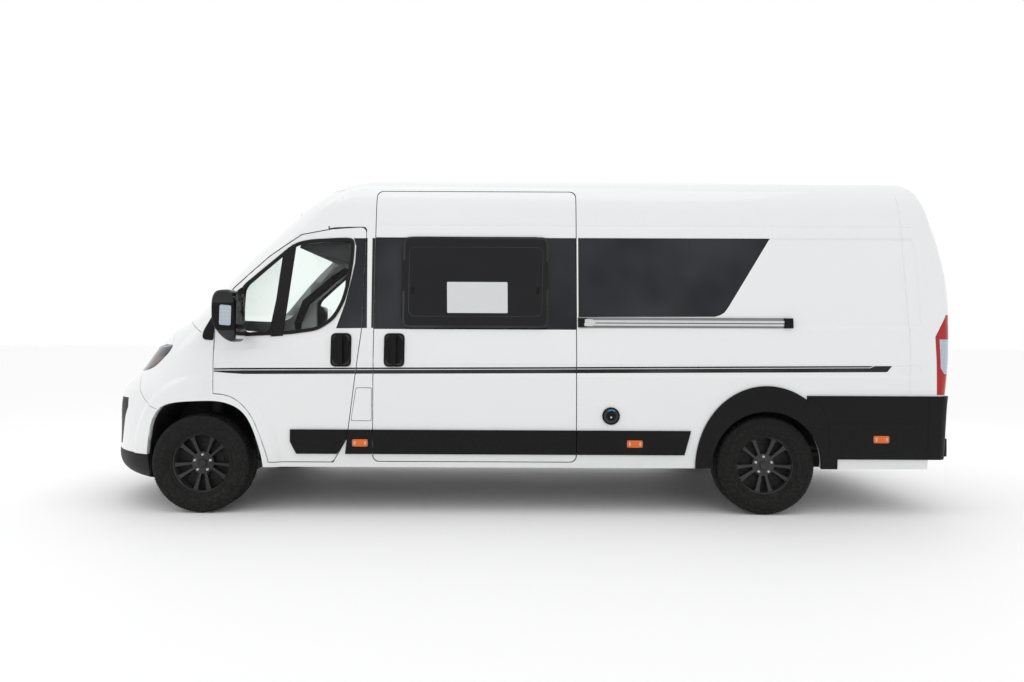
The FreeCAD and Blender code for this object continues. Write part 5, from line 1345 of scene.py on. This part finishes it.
def makeFiller():
    bm = bmesh.new()
    x, z, r = filler["x"], filler["z"], filler["radius"]
    y = -float(skinY([x], [z])[0])
    turned(bm, scaled(filler["cap"], r), (x, y, z), 48, -1)
    for k in range(filler["arcCount"]):
        a0, a1 = [math.radians(filler["arcStart"] + filler["arcStep"] * i) for i in (k, k + 1)]
        inner, outer = [r * share for share in filler["arc"]]
        corners = [(q * math.cos(a), q * math.sin(a)) for q, a in quad(inner, outer, a0, a1)]
        face = bm.faces.new([bm.verts.new((x + u, y - filler["arcProud"], z + v)) for u, v in corners])
        face.normal_update()
        if face.normal.y > 0:
            face.normal_flip()
        face.material_index = 1
    turned(bm, scaled(filler["button"], r), (x, y, z - filler["buttonDrop"]), 20, -1, 2)
    newPiece("water_filler_face", bm, "root", ("glossBlack", "capBlue", "boltSteel"), 35.0)


# Lamps: zones on copies of the CAD lamps

def lampCopy(name, node, materials, planes, choose):
    bm = bmesh.new()
    bm.from_mesh(nodes[node].data)
    bmesh.ops.remove_doubles(bm, verts=bm.verts[:], dist=panelSet["weld"])
    cutPlanes(bm, planes)
    bm.normal_update()
    for face in bm.faces:
        face.material_index = choose(face.calc_center_median())
    piece = newPiece(name, bm, "root", materials)
    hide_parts(node)


tailLamp = {"lensLow": 1.016, "lensHigh": 1.262, "highHalf": 0.0035, "lensInner": 3.040, "lensOuterY": 0.80,
            "lensTaper": 1.060, "taper": 0.6, "taperShift": 0.026}
headLamp = {"amberTop": 1.115, "amberInner": 0.845, "browLow": 1.180, "browX": -2.60, "browRise": 0.09}


def chooseTail(place):
    edge = tailLamp["lensInner"] + max(0.0, tailLamp["lensTaper"] - place.z) * tailLamp["taper"]
    lit = tailLamp["lensLow"] < place.z < tailLamp["lensHigh"]
    return 1 if lit and place.x > edge and abs(place.y) > tailLamp["lensOuterY"] else 0


def chooseHead(place):
    if place.z > headLamp["browLow"] + (place.x - headLamp["browX"]) * headLamp["browRise"]:
        return 1
    if place.z < headLamp["amberTop"] and abs(place.y) > headLamp["amberInner"]:
        return 2
    return 0


def makeLamps():
    low, high, half, inner = [tailLamp[key] for key in ("lensLow", "lensHigh", "highHalf", "lensInner")]
    tailPlanes = [((0, 0, z), (0, 0, 1)) for z in (low, high, tailLamp["lensTaper"])]
    tailPlanes += [((inner, 0, 0), (1, 0, 0)),
                   ((inner + tailLamp["taperShift"], 0, low), (1, 0, tailLamp["taper"]))]
    tailPlanes += [((0, 0, z), (0, 0, 1)) for z in (high - half, high + half)]
    lampCopy("tail_lamp_lenses", "tail_lamps", ("lampRed", "lampGrey"), tailPlanes, chooseTail)
    headPlanes = [((0, 0, headLamp["amberTop"]), (0, 0, 1))]
    headPlanes += [((0, sense * headLamp["amberInner"], 0), (0, 1, 0)) for sense in (-1, 1)]
    headPlanes += [((headLamp["browX"], 0, headLamp["browLow"]), (-headLamp["browRise"], 0, 1))]
    materials = ("lampDark", "lampBrow", "lampAmber")
    lampCopy("headlamp_lenses", "headlamps", materials, headPlanes, chooseHead)


# Splash shields behind the lower bumper, and the shelf over the windscreen

shield = {"x": -2.631, "low": 0.245, "high": 0.500, "inner": 0.560, "outer": 0.935, "thick": 0.014}
shelf = {"profile": [(-1.600, 1.925), (-1.420, 1.868), (-1.130, 1.790), (-1.100, 1.800), (-1.098, 1.980),
                     (-1.300, 2.012), (-1.560, 1.990)], "half": 0.790}
visor = {"profile": [(-1.625, 1.960), (-1.615, 1.975), (-1.470, 1.925), (-1.470, 1.905)],
         "reach": (0.15, 0.62)}


def pushFace(made, face, move):
    out = bmesh.ops.extrude_face_region(made, geom=[face])
    bmesh.ops.translate(made, vec=move, verts=[v for v in out["geom"] if isinstance(v, bmesh.types.BMVert)])
    bmesh.ops.recalc_face_normals(made, faces=made.faces[:])


def slab(bm, profile, y0, y1, bevel, material=0):
    # a profile (x, z) pushed from y0 to y1, its edges eased
    made = bmesh.new()
    face = made.faces.new([made.verts.new((x, y0, z)) for x, z in profile])
    pushFace(made, face, (0, y1 - y0, 0))
    bmesh.ops.bevel(made, geom=made.edges[:], offset=bevel, segments=3, profile=0.6, affect="EDGES")
    colourFaces(made.faces, material)
    addMesh(bm, made)


def makeInnerPieces():
    for sense, label in sides:
        bm = bmesh.new()
        profile = quad(shield["x"], shield["x"] + shield["thick"], shield["low"], shield["high"])
        slab(bm, profile, sense * shield["inner"], sense * shield["outer"], 0.002)
        newPiece("splash_shield_" + label, bm, "root", ("claddingBlack",))
    bm = bmesh.new()
    slab(bm, shelf["profile"], -shelf["half"], shelf["half"], 0.012)
    for sense, _ in sides:
        slab(bm, visor["profile"], *[sense * y for y in visor["reach"]], 0.004, 1)
    newPiece("cab_shelf", bm, "root", ("dashPlastic", "sailGrey"))


# Door handles, the ridges and seams of the cladding, blank plate and gutter over the cab doors

handle = {"z": 1.170, "cab": axleF + 1.000, "slider": axleF + 1.380, "proud": 0.0078, "gripDepth": 0.017,
          # half sizes and corners of plate, dish and grip
          "shapes": [((0.0735, 0.1200), 0.040), ((0.0600, 0.1060), 0.030), ((0.0190, 0.1035), 0.010)]}
cladLines = [
    [(2.246, 0.664), (2.500, 0.6645), (2.760, 0.6655), (2.920, 0.667)],
    [(2.060, 0.766), (2.112, 0.846), (2.160, 0.812), (2.200, 0.760), (2.226, 0.700), (2.238, 0.640),
     (2.244, 0.520), (2.240, 0.430)],
    [(2.948, 0.850), (2.950, 0.640), (2.936, 0.450)],
]
cladLine = {"step": 0.03, "sink": 0.0005, "least": 0.8, "radius": 0.0026}
plate = {"middle": 0.561, "half": (0.260, 0.055), "corner": 0.010, "frame": 0.004, "face": -3.1883,
         "thick": 0.0022, "sink": 0.0010}
gutter = {"outline": [(-1.339, 2.0505), (-1.299, 2.0570), (-1.196, 2.0612), (-1.092, 2.0620),
                      (-1.076, 2.0560), (-1.069, 2.0420), (-1.0645, 2.0420), (-1.0645, 2.0665),
                      (-1.339, 2.0665)]}


def makeHandle(name, body, x, sense):
    bm = bmesh.new()
    grip = max(abs(v.co.y) for v in nodes["door_trim_left"].data.vertices)
    back, dish, bar = [boxOutline(x, handle["z"], half, corner) for half, corner in handle["shapes"]]
    skinPatch(bm, back, handle["proud"], 0.004, sense, 0.003)
    skinPatch(bm, dish, handle["proud"] + 0.0012, 0.0, sense, 0.001, 0.05, 1)
    skinPatch(bm, bar, 0.0008, handle["gripDepth"], sense, 0.005, 0.3, 0, grip)
    newPiece(name, bm, body, ("claddingBlack", "glossBlack"), 40.0)


def surfaceAt(trees, x, z, sense):
    reach = [0.0]
    for tree in trees:
        hit = tree.ray_cast(Vector((x, sense * 2.0, z)), Vector((0, -sense, 0)))[0]
        if hit is not None:
            reach.append(abs(hit.y))
    return max(reach)


def makeCladLines():
    trees = []
    for name in ("side_mouldings", "rear_bumper"):
        bm = bmesh.new()
        bm.from_mesh(nodes[name].data)
        trees.append(BVHTree.FromBMesh(bm))
        bm.free()
    bm = bmesh.new()
    for sense, _ in sides:
        for line in cladLines:
            points = []
            for (ax, az), (bx, bz) in zip(line, line[1:]):
                steps = max(1, int(math.hypot(bx - ax, bz - az) / cladLine["step"]))
                points += [(ax + (bx - ax) * i / steps, az + (bz - az) * i / steps) for i in range(steps)]
            points.append(line[-1])
            places = [(x, surfaceAt(trees, x, z, sense), z) for x, z in points]
            places = [(x, sense * (y - cladLine["sink"]), z) for x, y, z in places if y > cladLine["least"]]
            if len(places) > 1:
                tube(bm, places, cladLine["radius"], 8)
    newPiece("cladding_lines", bm, "root", ("claddingBlack",), 40.0)


def makePlate():
    # the blank plate in its black frame
    bm = bmesh.new()
    middle, (halfY, halfZ) = plate["middle"], plate["half"]
    outline = boxOutline(0.0, middle, plate["half"], plate["corner"], 4)
    for inset, sink, material in ((0.0, plate["sink"], 1), (plate["frame"], 0.0, 0)):
        made = bmesh.new()
        ring = [(y * (1 - inset / halfY), middle + (z - middle) * (1 - inset / halfZ)) for y, z in outline]
        face = made.faces.new([made.verts.new((plate["face"] + sink, y, z)) for y, z in ring])
        pushFace(made, face, (plate["thick"], 0, 0))
        colourFaces(made.faces, material)
        addMesh(bm, made)
    newPiece("front_plate", bm, "root", ("plateWhite", "claddingBlack"), 40.0)


def makeDoorTrim():
    for sense, label in sides:
        makeHandle("cab_handle_" + label, "cab_door_" + label, handle["cab"], sense)
        bm = bmesh.new()
        skinPatch(bm, gutter["outline"], -0.0012, 0.010, sense, 0.0, 0.04)
        newPiece("door_gutter_" + label, bm, "root", ("bodyWhite",), 40.0)
    makeHandle("slider_handle", "root", handle["slider"], -1)


makeDoorTrim()
makeCladLines()
makePlate()
makeInnerPieces()
for sense, label in sides:
    makeMirror(sense, label)
    makeCabWindow(sense, label)
    makeSideWindow(sense, label)
makeCard()
makeSlideRail()
makeMarkers()
makeFiller()
makeLamps()
print("mirrors, windows, rail, markers and lamps made")
